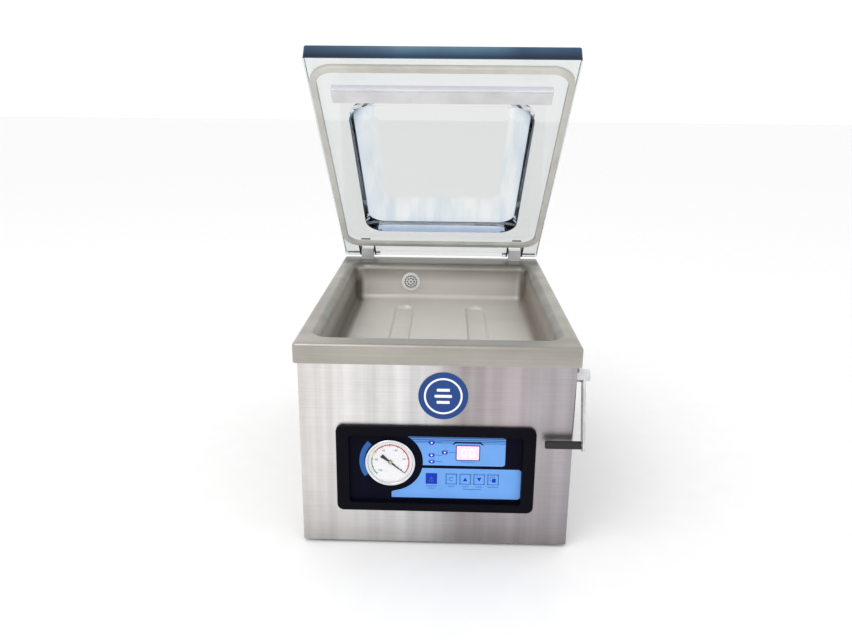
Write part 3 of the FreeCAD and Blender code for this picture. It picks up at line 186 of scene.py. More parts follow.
def deck_painted_light_and_shade(look, colour):
    """Painted light and shade on the deck: down in the pressed chamber the metal is painted paler and its side
    walls take painted shade; the rear land takes painted shade and is duller.
    """
    # the chamber's painted light and shade fade out between these heights
    deep, shallow = 0.226, 0.2525               # heights between which the chamber's tone fades out
    skirt_front, skirt_back = -0.2395, -0.2335  # and from front to back, so that the skirt keeps its own
    rear_shade_start, rear_shade_full = 0.17, 0.20          # where the rear land grows duller
    split = look.add("ShaderNodeSeparateXYZ")
    look.link(look.place, split.inputs[0])
    across = look.spread(split.outputs["X"], 0.0, 1.0, -DECK_HALF, DECK_HALF)
    # painted shade on the chamber's side walls, the left wall darker
    walls = look.ramp(across, ((0.050, WHITE), (0.066, (0.12, 0.10, 0.09)), (0.100, (0.17, 0.15, 0.13)),
                               (0.122, WHITE), (0.885, WHITE), (0.905, (0.34, 0.30, 0.27)),
                               (0.932, (0.26, 0.23, 0.20)), (0.950, WHITE)))
    depth = look.spread(split.outputs["Z"], 1.0, 0.0, deep, shallow)
    skirt = look.spread(split.outputs["Y"], 1.0, 0.0, skirt_front, skirt_back)
    inside = look.mix(depth, BLACK, skirt)
    # painted light: the chamber's metal is made paler
    pale = look.mix(colour, (0.80, 0.76, 0.71), look.mix(BLACK, (0.7, 0.7, 0.7), inside))
    toned = look.mix(pale, look.mix(WHITE, walls, inside), 1.0, "MULTIPLY")
    rearward = look.spread(split.outputs["Y"], 0.0, 1.0, rear_shade_start, rear_shade_full)
    # painted shade on the rear land
    back = look.ramp(rearward, ((0.0, WHITE), (1.0, (0.50, 0.50, 0.50))))
    flat = look.mix(back, WHITE, inside)
    # less metallic in the chamber, so that its painted paler colour shows
    look.set(Metallic=look.spread(inside, 1.0, 0.25, 0.0, 1.0))
    return look.mix(toned, flat, 1.0, "MULTIPLY")


def moulded(name, colour, rough=(0.32, 0.48), grain=900.0, bump=0.08, vary=0.10, gloss=0.5):
    """Moulded plastic, rubber or paint: a fine texture, and a little drift of colour."""
    look = Nodes(name)
    drift = look.noise((30, 30, 30), detail=4.0)
    fine = look.noise((grain, grain, grain), detail=2.0, offset=1.9)
    look.set(Base_Color=look.ramp(drift, ((0.3, shaded(colour, 1 - vary)), (0.7, shaded(colour, 1 + vary)))),
             Roughness=look.spread(drift, *rough), Specular_IOR_Level=gloss)
    look.bump(fine, bump, 0.0003)
    return look.material


def glowing(name, colour, strength, rough=0.25):
    """A glowing surface: the display, its digits and the lamps, and the bright dial card, whose glow is
    painted light.
    """
    look = Nodes(name)
    drift = look.noise((400, 400, 400), detail=2.0)
    tone = look.ramp(drift, ((0.3, shaded(colour, 0.92)), (0.7, shaded(colour, 1.05))))
    look.set(Base_Color=tone, Emission_Color=tone, Emission_Strength=strength, Roughness=rough)
    return look.material


def clear(name, colour, index=1.49):
    """Clear plastic or glass. An index near that of air stands for a thin sheet."""
    look = Nodes(name)
    drift = look.noise((9, 9, 9), detail=4.0)
    look.set(Base_Color=look.ramp(drift, ((0.35, shaded(colour, 0.985)), (0.65, colour))), Roughness=0.02,
             IOR=index, Transmission_Weight=1.0)
    return look.material


def along_lid(look, axis):
    """The distance from the hinge line along one of the lid's own directions, in metres."""
    dot = look.add("ShaderNodeVectorMath", operation="DOT_PRODUCT")
    dot.inputs[1].default_value = axis
    look.link(look.place, dot.inputs[0])
    shift = look.add("ShaderNodeMath", operation="SUBTRACT")
    shift.inputs[1].default_value = HINGE.dot(axis)
    look.link(dot.outputs["Value"], shift.inputs[0])
    return shift.outputs[0]


def lid_front_edge():
    """Thick acrylic seen end on: navy, with painted shade along the underside and towards the corners, and
    painted light towards the top.
    """
    look = Nodes("acrylic_front_edge")
    drift = look.noise((16, 3, 3), detail=3.0)
    rise = look.spread(along_lid(look, LID_OUT), 0.0, 1.0, LID_UNDER, LID_TOP)
    # painted shade along the underside, painted light towards the top
    face = look.ramp(rise, ((0.0, (0.012, 0.050, 0.10)), (0.20, (0.010, 0.030, 0.065)),
                            (0.38, (0.030, 0.075, 0.13)), (0.75, (0.075, 0.15, 0.22)),
                            (1.0, (0.11, 0.20, 0.28))))
    split = look.add("ShaderNodeSeparateXYZ")
    look.link(look.place, split.inputs[0])
    across = look.spread(split.outputs["X"], 0.0, 1.0, -DECK_HALF, DECK_HALF)
    # painted shade towards the corners
    painted_corner_shade = look.ramp(across, ((0.0, (0.25, 0.35, 0.45)), (0.16, (0.45, 0.52, 0.60)), (0.34, WHITE),
                                (0.70, WHITE), (0.78, (0.35, 0.45, 0.58)), (1.0, (0.30, 0.42, 0.56))))
    tone = look.ramp(drift, ((0.30, (0.60, 0.64, 0.70)), (0.66, WHITE)))
    shaded_face = look.mix(look.mix(face, painted_corner_shade, 1.0, "MULTIPLY"), tone, 0.8, "MULTIPLY")
    look.set(Base_Color=shaded_face, Roughness=0.12, Specular_IOR_Level=0.3)
    return look.material


def dome_wall():
    """The dome's walls, with painted shade for the light bent through them: a deep blue line at their base,
    pale above it, and nearly black towards the dome's far end.
    """
    look = Nodes("dome_wall_acrylic")
    bend_start, bend_stop = 0.07, 0.38          # along LID_FORWARD
    out = look.spread(along_lid(look, LID_OUT), 0.0, 1.0, LID_UNDER, DOME_TOP)
    # painted shade: a deep blue line along the wall's base
    painted_foot_shade = look.ramp(out, ((0.0, (0.16, 0.24, 0.46)), (0.10, (0.26, 0.36, 0.60)), (0.24, (0.66, 0.74, 0.86)),
                           (0.45, (0.84, 0.87, 0.88)), (1.0, (0.86, 0.88, 0.87))))
    place = look.spread(along_lid(look, LID_FORWARD), 0.0, 1.0, bend_start, bend_stop)
    # painted shade, nearly black towards the dome's far end
    painted_bend_shade = look.ramp(place, ((0.80, WHITE), (0.88, (0.62, 0.68, 0.74)), (0.915, (0.14, 0.19, 0.26)),
                             (1.0, (0.05, 0.09, 0.15))))
    drift = look.noise((45, 12, 12), detail=3.0)
    mottle = look.ramp(drift, ((0.34, (0.66, 0.75, 0.87)), (0.60, WHITE)))
    tint = look.mix(look.mix(painted_foot_shade, painted_bend_shade, 1.0, "MULTIPLY"), mottle, 0.6, "MULTIPLY")
    look.set(Base_Color=tint, Roughness=0.06, IOR=1.12, Transmission_Weight=1.0)
    return look.material


def make_metals():
    # The broad streaks on the cabinet and rear sheets run upright: painted reflection of the upright bands of
    # light that level brushing throws.
    SHADE["cabinet"] = brushed("cabinet_steel", (0.90, 0.89, 0.88), (0.70, 0.69, 0.69), (9, 9, 1500),
                               (60, 60, 1.0), rough=(0.28, 0.46), tone=cabinet_painted_reflection)
    SHADE["deck"] = brushed("deck_steel", (0.50, 0.475, 0.43), (0.36, 0.34, 0.30), (5, 900, 900), (4, 22, 14),
                            rough=(0.26, 0.44), tone=deck_painted_light_and_shade)
    SHADE["back_sheet"] = brushed("rear_steel", (0.74, 0.73, 0.72), (0.56, 0.55, 0.55), (9, 9, 1500),
                                  (50, 50, 1.0))
    SHADE["zinc"] = brushed("zinc_plate", (0.62, 0.63, 0.64), (0.50, 0.51, 0.53), (60, 60, 60), (30, 30, 30),
                            rough=(0.40, 0.60))
    SHADE["steel"] = brushed("bright_steel", (0.78, 0.78, 0.80), (0.60, 0.60, 0.62), (1200, 60, 60),
                             (60, 60, 60), rough=(0.20, 0.34))
    SHADE["aluminium"] = brushed("natural_aluminium", (0.84, 0.84, 0.85), (0.70, 0.70, 0.71), (8, 1500, 1500),
                                 (40, 40, 40), rough=(0.34, 0.48))
    SHADE["chrome"] = brushed("chrome_rim", (0.90, 0.90, 0.91), (0.78, 0.78, 0.80), (300, 300, 300),
                              (50, 50, 50), rough=(0.08, 0.16), bump=0.02)
    SHADE["brass"] = brushed("machined_brass", (0.78, 0.60, 0.28), (0.62, 0.46, 0.20), (900, 900, 60),
                             (60, 60, 60))
    SHADE["casting"] = moulded("grey_casting", (0.20, 0.22, 0.24), rough=(0.5, 0.7), grain=350.0, bump=0.5)
    SHADE["winding"] = brushed("copper_winding", (0.62, 0.28, 0.12), (0.40, 0.16, 0.07), (900, 20, 900),
                               (50, 50, 50), bump=0.6)


def make_plastics():
    SHADE["gloss_black"] = moulded("gloss_black", (0.003, 0.003, 0.006), rough=(0.34, 0.46), bump=0.02,
                                   gloss=0.05)
    SHADE["black_plastic"] = moulded("black_plastic", (0.018, 0.018, 0.019), rough=(0.40, 0.55), bump=0.25,
                                     gloss=0.25)
    SHADE["rubber"] = moulded("black_rubber", (0.020, 0.020, 0.021), rough=(0.45, 0.62), grain=600.0,
                              bump=0.3, gloss=0.3)
    SHADE["gasket"] = moulded("gasket_silicone", (0.58, 0.575, 0.53), rough=(0.55, 0.7), bump=0.2)
    SHADE["pad"] = moulded("pad_silicone", (0.70, 0.70, 0.73), rough=(0.42, 0.55), bump=0.1)
    SHADE["white_plastic"] = moulded("white_plastic", (0.80, 0.80, 0.80), rough=(0.3, 0.42), bump=0.06)
    SHADE["holder"] = moulded("pad_holder_white", (0.90, 0.90, 0.97), rough=(0.3, 0.42), bump=0.04, vary=0.03)
    SHADE["board"] = moulded("circuit_board", (0.02, 0.16, 0.06), rough=(0.35, 0.5), grain=300.0)
    SHADE["tape"] = moulded("ptfe_tape", (0.34, 0.22, 0.11), rough=(0.45, 0.6), grain=1500.0, bump=0.6)


def make_prints():
    SHADE["panel_dark"] = moulded("panel_navy", (0.003, 0.003, 0.011), rough=(0.25, 0.36), bump=0.03,
                                  gloss=0.04)
    SHADE["panel_blue"] = moulded("panel_light_blue", (0.155, 0.365, 0.80), rough=(0.32, 0.44), bump=0.05,
                                  vary=0.05, gloss=0.15)
    SHADE["panel_mid"] = moulded("panel_mid_blue", (0.030, 0.13, 0.42), rough=(0.32, 0.44), bump=0.05,
                                 vary=0.05, gloss=0.15)
    SHADE["key_royal"] = moulded("key_royal_blue", (0.006, 0.035, 0.48), rough=(0.30, 0.40), bump=0.05,
                                 vary=0.06, gloss=0.15)
    SHADE["ink_navy"] = moulded("ink_navy", (0.006, 0.020, 0.09), rough=(0.30, 0.45), bump=0.03, gloss=0.15)
    SHADE["ink_white"] = moulded("ink_white", (0.86, 0.87, 0.88), rough=(0.35, 0.5), bump=0.03, vary=0.03)
    SHADE["ink_black"] = moulded("ink_black", (0.015, 0.015, 0.016), rough=(0.35, 0.5), bump=0.03)
    # The dial card is no lamp: its faint glow is painted light.
    SHADE["dial"] = glowing("dial_card", (0.86, 0.85, 0.87), 0.22, rough=0.5)
    SHADE["green"] = moulded("arc_green", (0.08, 0.42, 0.16), rough=(0.4, 0.5), vary=0.04)
    SHADE["yellow"] = moulded("arc_yellow", (0.80, 0.66, 0.10), rough=(0.4, 0.5), vary=0.04)
    SHADE["red"] = moulded("arc_red", (0.66, 0.05, 0.05), rough=(0.4, 0.5), vary=0.04)
    SHADE["badge"] = moulded("badge_blue", (0.012, 0.055, 0.22), rough=(0.30, 0.40), bump=0.03, vary=0.05,
                             gloss=0.25)
    SHADE["display"] = glowing("display_glow", (1.0, 0.50, 0.62), 0.55)
    SHADE["digit"] = glowing("digit_glow", (1.0, 0.93, 0.93), 1.6)
    SHADE["lamp"] = glowing("lamp_lens", (0.75, 0.85, 1.0), 0.25)


def make_clears():
    SHADE["acrylic"] = clear("lid_acrylic", (0.790, 0.820, 0.815))
    SHADE["dome_roof"] = clear("dome_roof_acrylic", (0.775, 0.792, 0.790), index=1.12)
    SHADE["acrylic_edge"] = lid_front_edge()
    SHADE["dome_wall"] = dome_wall()
    SHADE["notch"] = moulded("notch_shadow", (0.010, 0.012, 0.016), rough=(0.3, 0.5), bump=0.05)
    SHADE["glass"] = clear("gauge_lens", (0.99, 0.995, 1.0), index=1.12)


CAD_SHADES = {
    "deck": ["deck_pan"],
    "cabinet": ["cabinet_wrap"],
    "back_sheet": ["rear_panel"],
    "zinc": ["base_plate", "motor_saddle", "valve_bracket"],
    "rubber": ["rubber_feet", "pump_mounts", "vacuum_hose", "lever_grip"],
    "steel": ["cabinet_screws", "lever_boss", "lever_bolt", "hinge_pins", "heating_band", "seal_bar_pins",
              "lever_arm", "motor_shaft", "pump_rotor"],
    "gloss_black": ["panel_bezel"],
    "panel_dark": ["control_panel"],
    "display": ["display_window"],
    "lamp": ["indicator_lamps"],
    "board": ["control_board"],
    "black_plastic": ["gauge_case", "fan_cowl", "exhaust_filter", "mains_inlet", "fuse_holder",
                      "switch_housing", "power_rocker", "cooling_fan"],
    "chrome": ["gauge_rim"],
    "dial": ["gauge_dial"],
    "glass": ["gauge_glass", "oil_sight_glass"],
    "badge": ["round_badge"],
    "white_plastic": ["port_grille"],
    "holder": ["pad_holder"],
    "brass": ["port_fitting", "solenoid_valves"],
    "aluminium": ["lift_cylinders", "hinge_blocks", "seal_bar"],
    "casting": ["pump_body", "motor_housing", "transformer_core"],
    "winding": ["motor_stator", "transformer_coil", "motor_armature"],
    "acrylic": ["lid_plate"],
    "gasket": ["lid_gasket"],
    "pad": ["silicone_pad"],
    "tape": ["ptfe_tape"],
    "ink_black": ["gauge_needle"],
    "key_royal": ["start_key"],
    "panel_blue": ["set_key", "up_key", "down_key", "stop_key"],
}


def dress_frame():
    """Give each CAD node its finish."""
    for shade, names in CAD_SHADES.items():
        for name in names:
            part = frame["nodes"][name]
            for slot in part.material_slots:
                slot.material = SHADE[shade]


# ---------------------------------------------------------------- building pieces
def add_piece(name, mesh, body):
    """A new object that rides on a body."""
    piece = bpy.data.objects.new(name, mesh)
    bpy.context.scene.collection.objects.link(piece)
    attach(piece, body)
    return piece


def solid_piece(name, outline_pairs, shade, body):
    """One piece of closed solids, each between two outlines with the same number of points."""
    mesh = bpy.data.meshes.new(name)
    work = bmesh.new()
    for near_outline, far_outline in outline_pairs:
        near = [work.verts.new(spot) for spot in near_outline]
        far = [work.verts.new(spot) for spot in far_outline]
        work.faces.new(near)
        work.faces.new(list(reversed(far)))
        for i in range(len(near)):
            j = (i + 1) % len(near)
            work.faces.new((near[j], near[i], far[i], far[j]))
    bmesh.ops.recalc_face_normals(work, faces=work.faces)
    work.to_mesh(mesh)
    work.free()
    mesh.materials.append(SHADE[shade])
    add_piece(name, mesh, body)


def flat_piece(name, polygons, face_y, thick, shade, body):
    """Thin solids standing proud of an upright front face. Polygons hold (x, z) points in metres."""
    pairs = [([(x, face_y - thick, z) for x, z in points], [(x, face_y, z) for x, z in points])
             for points in polygons]
    solid_piece(name, pairs, shade, body)


def ring_sector(centre, inner, outer, start, stop, steps):
    """Quads that fill an arc band; angles in degrees, anticlockwise from +X as seen from the front."""
    quads = []
    for i in range(steps):
        turn = [math.radians(start + (stop - start) * k / steps) for k in (i, i + 1)]
        a, b = [(math.cos(t), math.sin(t)) for t in turn]
        quads.append([(centre[0] + r * u[0], centre[1] + r * u[1])
                      for r, u in ((inner, a), (outer, a), (outer, b), (inner, b))])
    return quads


def oval(x, z, half_width, half_height, steps):
    points = []
    for k in range(steps):
        turn = 2 * math.pi * k / steps
        points.append((x + half_width * math.cos(turn), z + half_height * math.sin(turn)))
    return points


def bar(x, z, width, height):
    return [(x - width / 2, z - height / 2), (x + width / 2, z - height / 2),
            (x + width / 2, z + height / 2), (x - width / 2, z + height / 2)]


def dash_row(x, z, count, pitch, width, height):
    """A centred row of dashes, which stands for a word."""
    return [bar(x + (k - (count - 1) / 2) * pitch, z, width, height) for k in range(count)]


def triangle(x, z, width, height):
    """Points up for a positive height and down for a negative one."""
    corners = [(x - width / 2, z - height / 2), (x + width / 2, z - height / 2), (x, z + height / 2)]
    return corners if height > 0 else list(reversed(corners))


def rounded_bar(x, z, width, height, radius):
    steps = 5
    points = []
    for sx, sz, first in ((1, -1, -90), (1, 1, 0), (-1, 1, 90), (-1, -1, 180)):
        for k in range(steps + 1):
            turn = math.radians(first + 90 * k / steps)
            points.append((x + sx * (width / 2 - radius) + radius * math.cos(turn),
                           z + sz * (height / 2 - radius) + radius * math.sin(turn)))
    return points


def centre_of(node):
    low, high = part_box(node)
    return [(a + b) / 2 for a, b in zip(low, high)]


def outline_ring(x, z, width, height, line, radius):
    """A thin rounded frame made of quads."""
    outer = rounded_bar(x, z, width, height, radius)
    inner = rounded_bar(x, z, width - 2 * line, height - 2 * line, max(radius - line, 0.0002))
    count = len(outer)
    return [[outer[i], outer[(i + 1) % count], inner[(i + 1) % count], inner[i]] for i in range(count)]


# ---------------------------------------------------------------- control panel prints
KEYS = ("start_key", "set_key", "up_key", "down_key", "stop_key")
PRINT = 0.00012                                 # a print's thickness
GAUGE_CLEAR = 0.0385                            # radius of the dark ring round the gauge
FIELD_LEFT = -0.052                             # where a blue field starts above and below that ring
UPPER_FIELD = (0.1070, 0.1438, 0.0820)          # low edge, high edge and right edge
LOWER_FIELD = (0.0639, 0.1031, 0.1015)
# bands of painted shadow from the bezel across the upper field's top
BEZEL_SHADOW_BANDS = ((0.1425, 0.0014), (0.1399, 0.0011), (0.1378, 0.0008), (0.1360, 0.0005))   # height, thickness
HEADER_HEIGHT = 0.1373                          # of the navy bracket over the display


def field_start(z):
    """The left end of a blue field at height z: it stops at the ring round the gauge."""
    gauge_x, _, gauge_z = centre_of("gauge_dial")
    rise = abs(z - gauge_z)
    if rise >= GAUGE_CLEAR:
        return FIELD_LEFT
    return gauge_x + math.sqrt(max(GAUGE_CLEAR ** 2 - rise ** 2, 0.0))


def blue_field(low, high, right, holes=()):
    """A field in flat strips: round right corners, a left side that follows the ring round the gauge, and
    holes given as (left, right, low, high)."""
    radius, steps = 0.003, 26
    levels = {low + (high - low) * i / steps for i in range(steps + 1)}
    for hole in holes:
        levels |= {hole[2], hole[3]}
    levels = sorted(levels)

    def right_end(z):
        inset = max(radius - (z - low), radius - (high - z), 0)
        return right - (radius - math.sqrt(max(radius ** 2 - inset ** 2, 0)))

    strips = []
    for bottom, top in zip(levels, levels[1:]):
        start = [(field_start(z), z) for z in (bottom, top)]
        for hole in sorted(hole for hole in holes if hole[2] <= (bottom + top) / 2 <= hole[3]):
            strips.append([start[0], (hole[0], bottom), (hole[0], top), start[1]])
            start = [(hole[1], bottom), (hole[1], top)]
        strips.append([start[0], (right_end(bottom), bottom), (right_end(top), top), start[1]])
    return strips


def panel_prints():
    """The two light blue fields, a painted shadow of the bezel across the upper one's top, the crescent and
    the display's surround.
    """
    room = 0.0003                               # round each key, so that it can be pressed
    holes = []
    for name in KEYS:
        least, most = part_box(name)
        holes.append((least[0] - room, most[0] + room, least[2] - room, most[2] + room))
    flat_piece("panel_upper_field", blue_field(*UPPER_FIELD), FRONT, PRINT, "panel_blue", "base")
    flat_piece("panel_lower_field", blue_field(*LOWER_FIELD, holes), FRONT, PRINT, "panel_blue", "base")
    right = UPPER_FIELD[2]
    # painted shadow of the bezel along the upper field's top
    for i, (height, tall) in enumerate(BEZEL_SHADOW_BANDS):
        start = field_start(height)
        band = bar((start + right) / 2, height, right - start, tall)
        flat_piece("panel_upper_shade_%d" % (len(BEZEL_SHADOW_BANDS) - i), [band], FRONT - PRINT / 2, PRINT,
                   "panel_mid", "base")
    gauge_x, _, gauge_z = centre_of("gauge_dial")
    flat_piece("gauge_crescent", ring_sector((gauge_x, gauge_z), 0.0305, 0.0368, 136, 213, 40), FRONT, PRINT,
               "panel_mid", "base")
    display_x, _, display_z = centre_of("display_window")
    span = 0.030
    header = [bar(display_x, HEADER_HEIGHT, span, 0.0020)]
    for side in (-1, 1):
        x, z = display_x + side * span / 2, HEADER_HEIGHT + 0.0010
        header.append([(x, z), (x + side * 0.0036, z - 0.0042), (x + side * 0.0022, z - 0.0044),
                       (x - side * 0.0022, z - 0.0014)])
    flat_piece("display_header", header, FRONT - PRINT, PRINT, "ink_navy", "base")
    flat_piece("display_frame", outline_ring(display_x, display_z, 0.0285, 0.0198, 0.0008, 0.0015),
               FRONT - PRINT, PRINT, "ink_navy", "base")


# ---------------------------------------------------------------- the clear lid
LID_FINISHES = ("acrylic", "acrylic_edge", "dome_wall", "notch", "dome_roof")
FRONT_EDGE = 0.4585                             # these four are distances along LID_FORWARD
NOTCH_END = 0.0265
DOME_START, DOME_STOP = 0.070, 0.385
NOTCH_LEAST, NOTCH_MOST = 0.1125, 0.1365        # these three are distances from the middle plane
DOME_HALF = 0.121
ROOF_LOW = 0.03                                 # the dome's roof is above this along LID_OUT
UPRIGHT, FLAT = 0.5, 0.985                      # cosines between a face and LID_OUT


def lid_finish(face):
    """Which of the lid's finishes a face of its mesh takes."""
    spot = face.center - HINGE
    forward, outward = spot.dot(LID_FORWARD), spot.dot(LID_OUT)
    across = abs(spot.x)
    lean = abs(face.normal.dot(LID_OUT))
    if forward > FRONT_EDGE and face.normal.dot(LID_FORWARD) > 0.5:
        return "acrylic_edge"
    if forward < NOTCH_END and NOTCH_LEAST < across < NOTCH_MOST and lean < UPRIGHT:
        return "notch"
    if across < DOME_HALF and DOME_START < forward < DOME_STOP and outward > LID_UNDER + 0.0001:
        if lean < FLAT:
            return "dome_wall"
        return "dome_roof" if outward > ROOF_LOW else "acrylic"
    return "acrylic"


def lid():
    """The lid's own mesh with a finish for each kind of face."""
    mesh = frame["nodes"]["lid_plate"].data.copy()
    mesh.name = "lid_acrylic"
    mesh.materials.clear()
    for shade in LID_FINISHES:
        mesh.materials.append(SHADE[shade])
    for face in mesh.polygons:
        face.material_index = LID_FINISHES.index(lid_finish(face))
    piece = add_piece("lid_acrylic", mesh, "lid")
    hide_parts("lid_plate")


def lid_trims():
    """Thin dark plates on the lid's underside in the notch shadow finish: a U round each hinge notch and a
    dash above it.
    """
    rear = 0.005                                # from the lid's rear edge to the hinge line
    thick = 0.0004
    spots = []                                  # x, distance from the rear edge, width, length
    for x in (-0.1245, 0.1245):
        spots += [(x - 0.0127, 0.0158, 0.0024, 0.0316), (x + 0.0127, 0.0158, 0.0024, 0.0316),
                  (x, 0.0325, 0.0278, 0.0030), (x, 0.0530, 0.0150, 0.0034)]
    plates = []
    for x, s, width, length in spots:
        outlines = []
        for depth in (LID_UNDER, LID_UNDER - thick):
            outlines.append([HINGE + Vector((x + sx * width / 2, 0.0, 0.0))
                             + LID_FORWARD * (s - rear + sy * length / 2) + LID_OUT * depth
                             for sx, sy in ((-1, -1), (1, -1), (1, 1), (-1, 1))])
        plates.append(outlines)
    solid_piece("notch_dark_plates", plates, "notch", "lid")


# ---------------------------------------------------------------- the gauge's dial
SCALE_ZERO = -39.0                              # degrees, anticlockwise from +X
SCALE_SWEEP = 262.0
ARCS = (("dial_arc_red", "red", -39, 143, 60), ("dial_arc_yellow", "yellow", 143, 169, 12),
        ("dial_arc_green", "green", 169, 223, 20))
ARC_RADII = (0.0213, 0.0225)
MAJOR_TICK = (0.0198, 0.0232, 0.00022)          # inner radius, outer radius and half width
MINOR_TICK = (0.0225, 0.0234, 0.00009)
TICK_STEPS = 50
FIGURES = ("0", "20", "40", "60", "80", "100")
FIGURE_RADIUS = 0.0165
RAISED = 0.00004                                # half the thickness of a figure


def figure(name, text, x, z, height, face_y, shade, body):
    """Raised figures on an upright front face."""
    size_over_height = 1.38
    curve = bpy.data.curves.new(name + "_curve", "FONT")
    curve.body = text
    curve.size = height * size_over_height
    curve.align_x = "CENTER"
    curve.align_y = "CENTER"
    curve.extrude = RAISED
    source = bpy.data.objects.new(name + "_source", curve)
    bpy.context.scene.collection.objects.link(source)
    bpy.context.view_layer.update()
    mesh = bpy.data.meshes.new_from_object(source)
    bpy.data.objects.remove(source)
    mesh.transform(Matrix.Translation((x, face_y, z)) @ Matrix.Rotation(math.radians(90), 4, "X"))
    mesh.materials.clear()
    mesh.materials.append(SHADE[shade])
    add_piece(name, mesh, body)


def tick(centre, turn, inner, outer, half):
    """A thin bar along the dial's radius at an angle in radians."""
    along = (math.cos(turn), math.sin(turn))
    across = (-along[1] * half, along[0] * half)
    return [(centre[0] + along[0] * r + across[0] * side, centre[1] + along[1] * r + across[1] * side)
            for r, side in ((inner, -1), (outer, -1), (outer, 1), (inner, 1))]


def dial_prints():
    x, _, z = centre_of("gauge_dial")
    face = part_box("gauge_dial")[0][1]
    for name, shade, start, stop, steps in ARCS:
        flat_piece(name, ring_sector((x, z), *ARC_RADII, start, stop, steps), face, PRINT, shade, "base")
    ticks = []
    for i in range(TICK_STEPS + 1):
        turn = math.radians(SCALE_ZERO + SCALE_SWEEP * i / TICK_STEPS)
        ticks.append(tick((x, z), turn, *(MINOR_TICK if i % 5 else MAJOR_TICK)))
    flat_piece("dial_ticks", ticks, face - PRINT, PRINT, "ink_black", "base")
    for i, text in enumerate(FIGURES):
        turn = math.radians(SCALE_ZERO + SCALE_SWEEP * i / (len(FIGURES) - 1))
        figure("dial_figure_%d" % i, text, x + FIGURE_RADIUS * math.cos(turn),
               z + FIGURE_RADIUS * math.sin(turn), 0.0026, face - RAISED, "ink_black", "base")
    flat_piece("needle_cap", [oval(x, z, 0.0023, 0.0023, 24)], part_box("gauge_needle")[0][1], 0.0003, "brass",
               "gauge_needle")


# ---------------------------------------------------------------- keys, lamps, display and badge
LONG_WORD, SHORT_WORD = 5, 3                    # dashes under a key
LAMP_SPOTS = ((-0.0047, 0.1364), (-0.0046, 0.1203), (-0.0045, 0.1121), (0.0108, 0.1242))


def key_marks(name, x, z):
    """The sign on a key: a run sign, a return arrow's ring, an up or down arrow, or a sheet over another."""
    if name == "start_key":
        return [triangle(x, z + 0.0014, 0.0040, 0.0034), bar(x, z - 0.0018, 0.0060, 0.0007),
                bar(x, z - 0.0034, 0.0060, 0.0007)]
    if name == "set_key":
        return ring_sector((x, z), 0.0021, 0.0028, 30, 320, 16)
    if name == "up_key":
        return [triangle(x, z, 0.0056, 0.0050)]
    if name == "down_key":
        return [triangle(x, z, 0.0056, -0.0050)]
    return (outline_ring(x - 0.0012, z + 0.0012, 0.0056, 0.0056, 0.0004, 0.0005)
            + [rounded_bar(x + 0.0010, z - 0.0010, 0.0044, 0.0050, 0.0006)])


def key_prints():
    """A frame and a sign on each key, and rows of dashes under the keys."""
    for name in KEYS:
        x, _, z = centre_of(name)
        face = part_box(name)[0][1]
        if name != "start_key":
            flat_piece(name + "_frame", outline_ring(x, z, 0.0122, 0.0129, 0.0005, 0.0016), face, PRINT,
                       "panel_mid", name)
        shade = "panel_mid" if name in ("start_key", "set_key") else "key_royal"
        flat_piece(name + "_mark", key_marks(name, x, z), face, PRINT, shade, name)
    dashes = []
    for name in KEYS:
        x, _, z = centre_of(name)
        word = LONG_WORD if name in ("start_key", "stop_key") else SHORT_WORD
        dashes += dash_row(x, z - 0.0100, word, 0.0026, 0.0018, 0.0009)
    start_x, _, start_z = centre_of("start_key")
    dashes += dash_row(start_x, start_z - 0.0128, SHORT_WORD, 0.0026, 0.0018, 0.0008)
    up_x, _, up_z = centre_of("up_key")
    middle = (up_x + centre_of("down_key")[0]) / 2
    dashes += dash_row(middle, up_z - 0.0134, 8, 0.0027, 0.0019, 0.0009)
    flat_piece("key_dashes", dashes, FRONT - PRINT, PRINT, "panel_mid", "base")


def lamp_prints():
    """A royal blue oval and collar round each lamp, and dashes beside it."""
    rings, collars, dashes = [], [], []
    for x, z in LAMP_SPOTS:
        rings.append(oval(x, z, 0.0037, 0.0028, 28))
        collars += ring_sector((x, z), 0.0011, 0.0024, 0, 360, 24)
        dashes += dash_row(x + 0.0088, z, SHORT_WORD, 0.0026, 0.0018, 0.0008)
    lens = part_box("indicator_lamps")[0][1]
    flat_piece("lamp_rings", rings, FRONT - PRINT, PRINT, "key_royal", "base")
    flat_piece("lamp_collars", collars, lens, PRINT, "key_royal", "base")
    flat_piece("lamp_dashes", dashes, FRONT - PRINT, PRINT, "panel_mid", "base")


def display_digits():
    """Two seven-segment noughts, and a row of dashes under the display."""
    x, _, z = centre_of("display_window")
    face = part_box("display_window")[0][1]
    high, wide, line = 0.0088, 0.0046, 0.0008
    lit = []
    for middle in (x - 0.0045, x + 0.0045):
        lit += [bar(middle, z + side * high / 2, wide - line, line) for side in (1, -1)]
        for dx in (-wide / 2, wide / 2):
            lit += [bar(middle + dx, z + side * high / 4, line, high / 2 - line) for side in (1, -1)]
    flat_piece("display_digits", lit, face, 0.0001, "digit", "base")
    flat_piece("display_caption", dash_row(x, z - 0.0118, 6, 0.0027, 0.0018, 0.0007), FRONT - PRINT, PRINT,
               "panel_mid", "base")


def badge_mark():
    """A plain white ring round three bars."""
    x, _, z = centre_of("round_badge")
    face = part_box("round_badge")[0][1]
    thick = 0.0002
    bars = [rounded_bar(x, z + 0.0075 * k, 0.020 - 0.005 * abs(k), 0.0034, 0.0010) for k in (-1, 0, 1)]
    flat_piece("badge_bars", bars, face, thick, "ink_white", "base")
    ring = ring_sector((x, z), 0.0200, 0.0222, 0, 360, 96)
    flat_piece("badge_ring", ring, face, thick, "ink_white", "base")


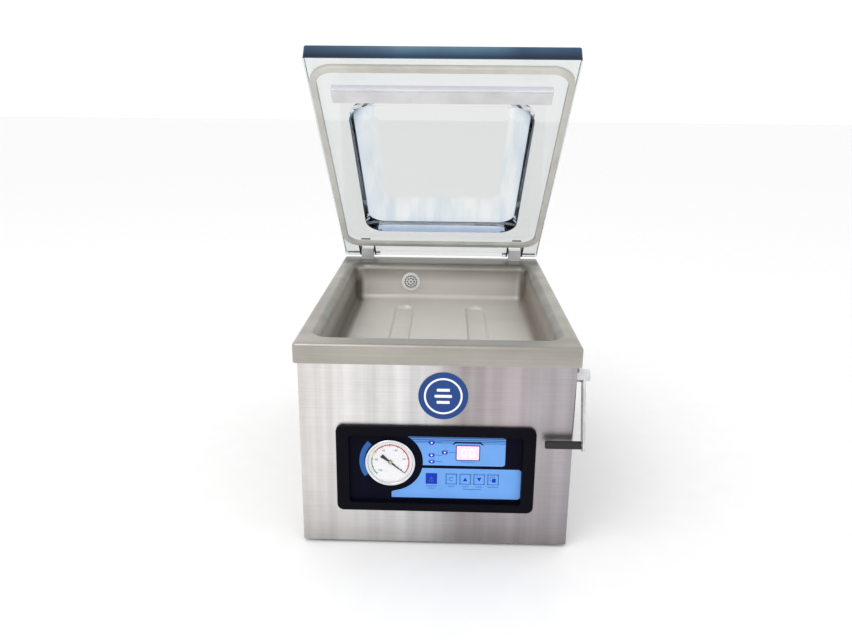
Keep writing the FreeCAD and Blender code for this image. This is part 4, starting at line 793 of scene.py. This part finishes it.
# ---------------------------------------------------------------- studio
def studio():
    """A white world and a pale paper floor."""
    world = bpy.data.worlds.new("studio_world")
    bpy.context.scene.world = world
    world.use_nodes = True
    backdrop = world.node_tree.nodes["Background"]
    backdrop.inputs["Color"].default_value = (1.0, 1.0, 1.0, 1.0)
    backdrop.inputs["Strength"].default_value = 1.06
    bpy.context.scene.view_settings.view_transform = "Standard"
    reach = 14.0
    mesh = bpy.data.meshes.new("studio_floor")
    mesh.from_pydata([(-reach, -reach, 0), (reach, -reach, 0), (reach, reach, 0), (-reach, reach, 0)], [],
                     [(0, 1, 2, 3)])
    floor = bpy.data.objects.new("studio_floor", mesh)
    bpy.context.scene.collection.objects.link(floor)
    mesh.materials.append(moulded("studio_paper", (0.90, 0.90, 0.90), rough=(0.8, 0.95), grain=200.0,
                                  bump=0.02, vary=0.01))


def light(name, place, target, power, side):
    """A square soft light aimed at a point; power in watts, side in metres."""
    data = bpy.data.lights.new(name, "AREA")
    data.energy = power
    data.size = side
    lamp = bpy.data.objects.new(name, data)
    lamp.location = place
    lamp.rotation_euler = (Vector(target) - Vector(place)).to_track_quat("-Z", "Y").to_euler()
    bpy.context.scene.collection.objects.link(lamp)


def camera():
    """The camera stands about a metre in front of the machine's middle and looks slightly down."""
    place = (0.007874, -1.053493, 0.530342)
    pitch, yaw, roll = [math.radians(a) for a in (16.656, -1.448, 0.534)]
    ahead = Vector((math.sin(yaw) * math.cos(pitch), math.cos(yaw) * math.cos(pitch), -math.sin(pitch)))
    side = Vector((math.cos(yaw), -math.sin(yaw), 0.0))
    above = side.cross(ahead)
    right = side * math.cos(roll) + above * math.sin(roll)
    up = above * math.cos(roll) - side * math.sin(roll)
    data = bpy.data.cameras.new("camera")
    data.sensor_width = 36.0
    data.lens = 32.254
    data.clip_start = 0.02
    seen = bpy.data.objects.new("camera", data)
    turn = Matrix((right, up, -ahead)).transposed().to_4x4()
    seen.matrix_world = Matrix.Translation(place) @ turn
    bpy.context.scene.collection.objects.link(seen)
    bpy.context.scene.camera = seen


make_metals()
make_plastics()
make_prints()
make_clears()
dress_frame()
lid()
lid_trims()
panel_prints()
dial_prints()
key_prints()
lamp_prints()
display_digits()
badge_mark()
studio()
light("key", (-0.9, -1.2, 1.9), (0, 0, 0.25), 11.0, 1.2)
light("fill", (1.5, -1.3, 0.7), (0, 0, 0.3), 2.5, 1.2)
camera()
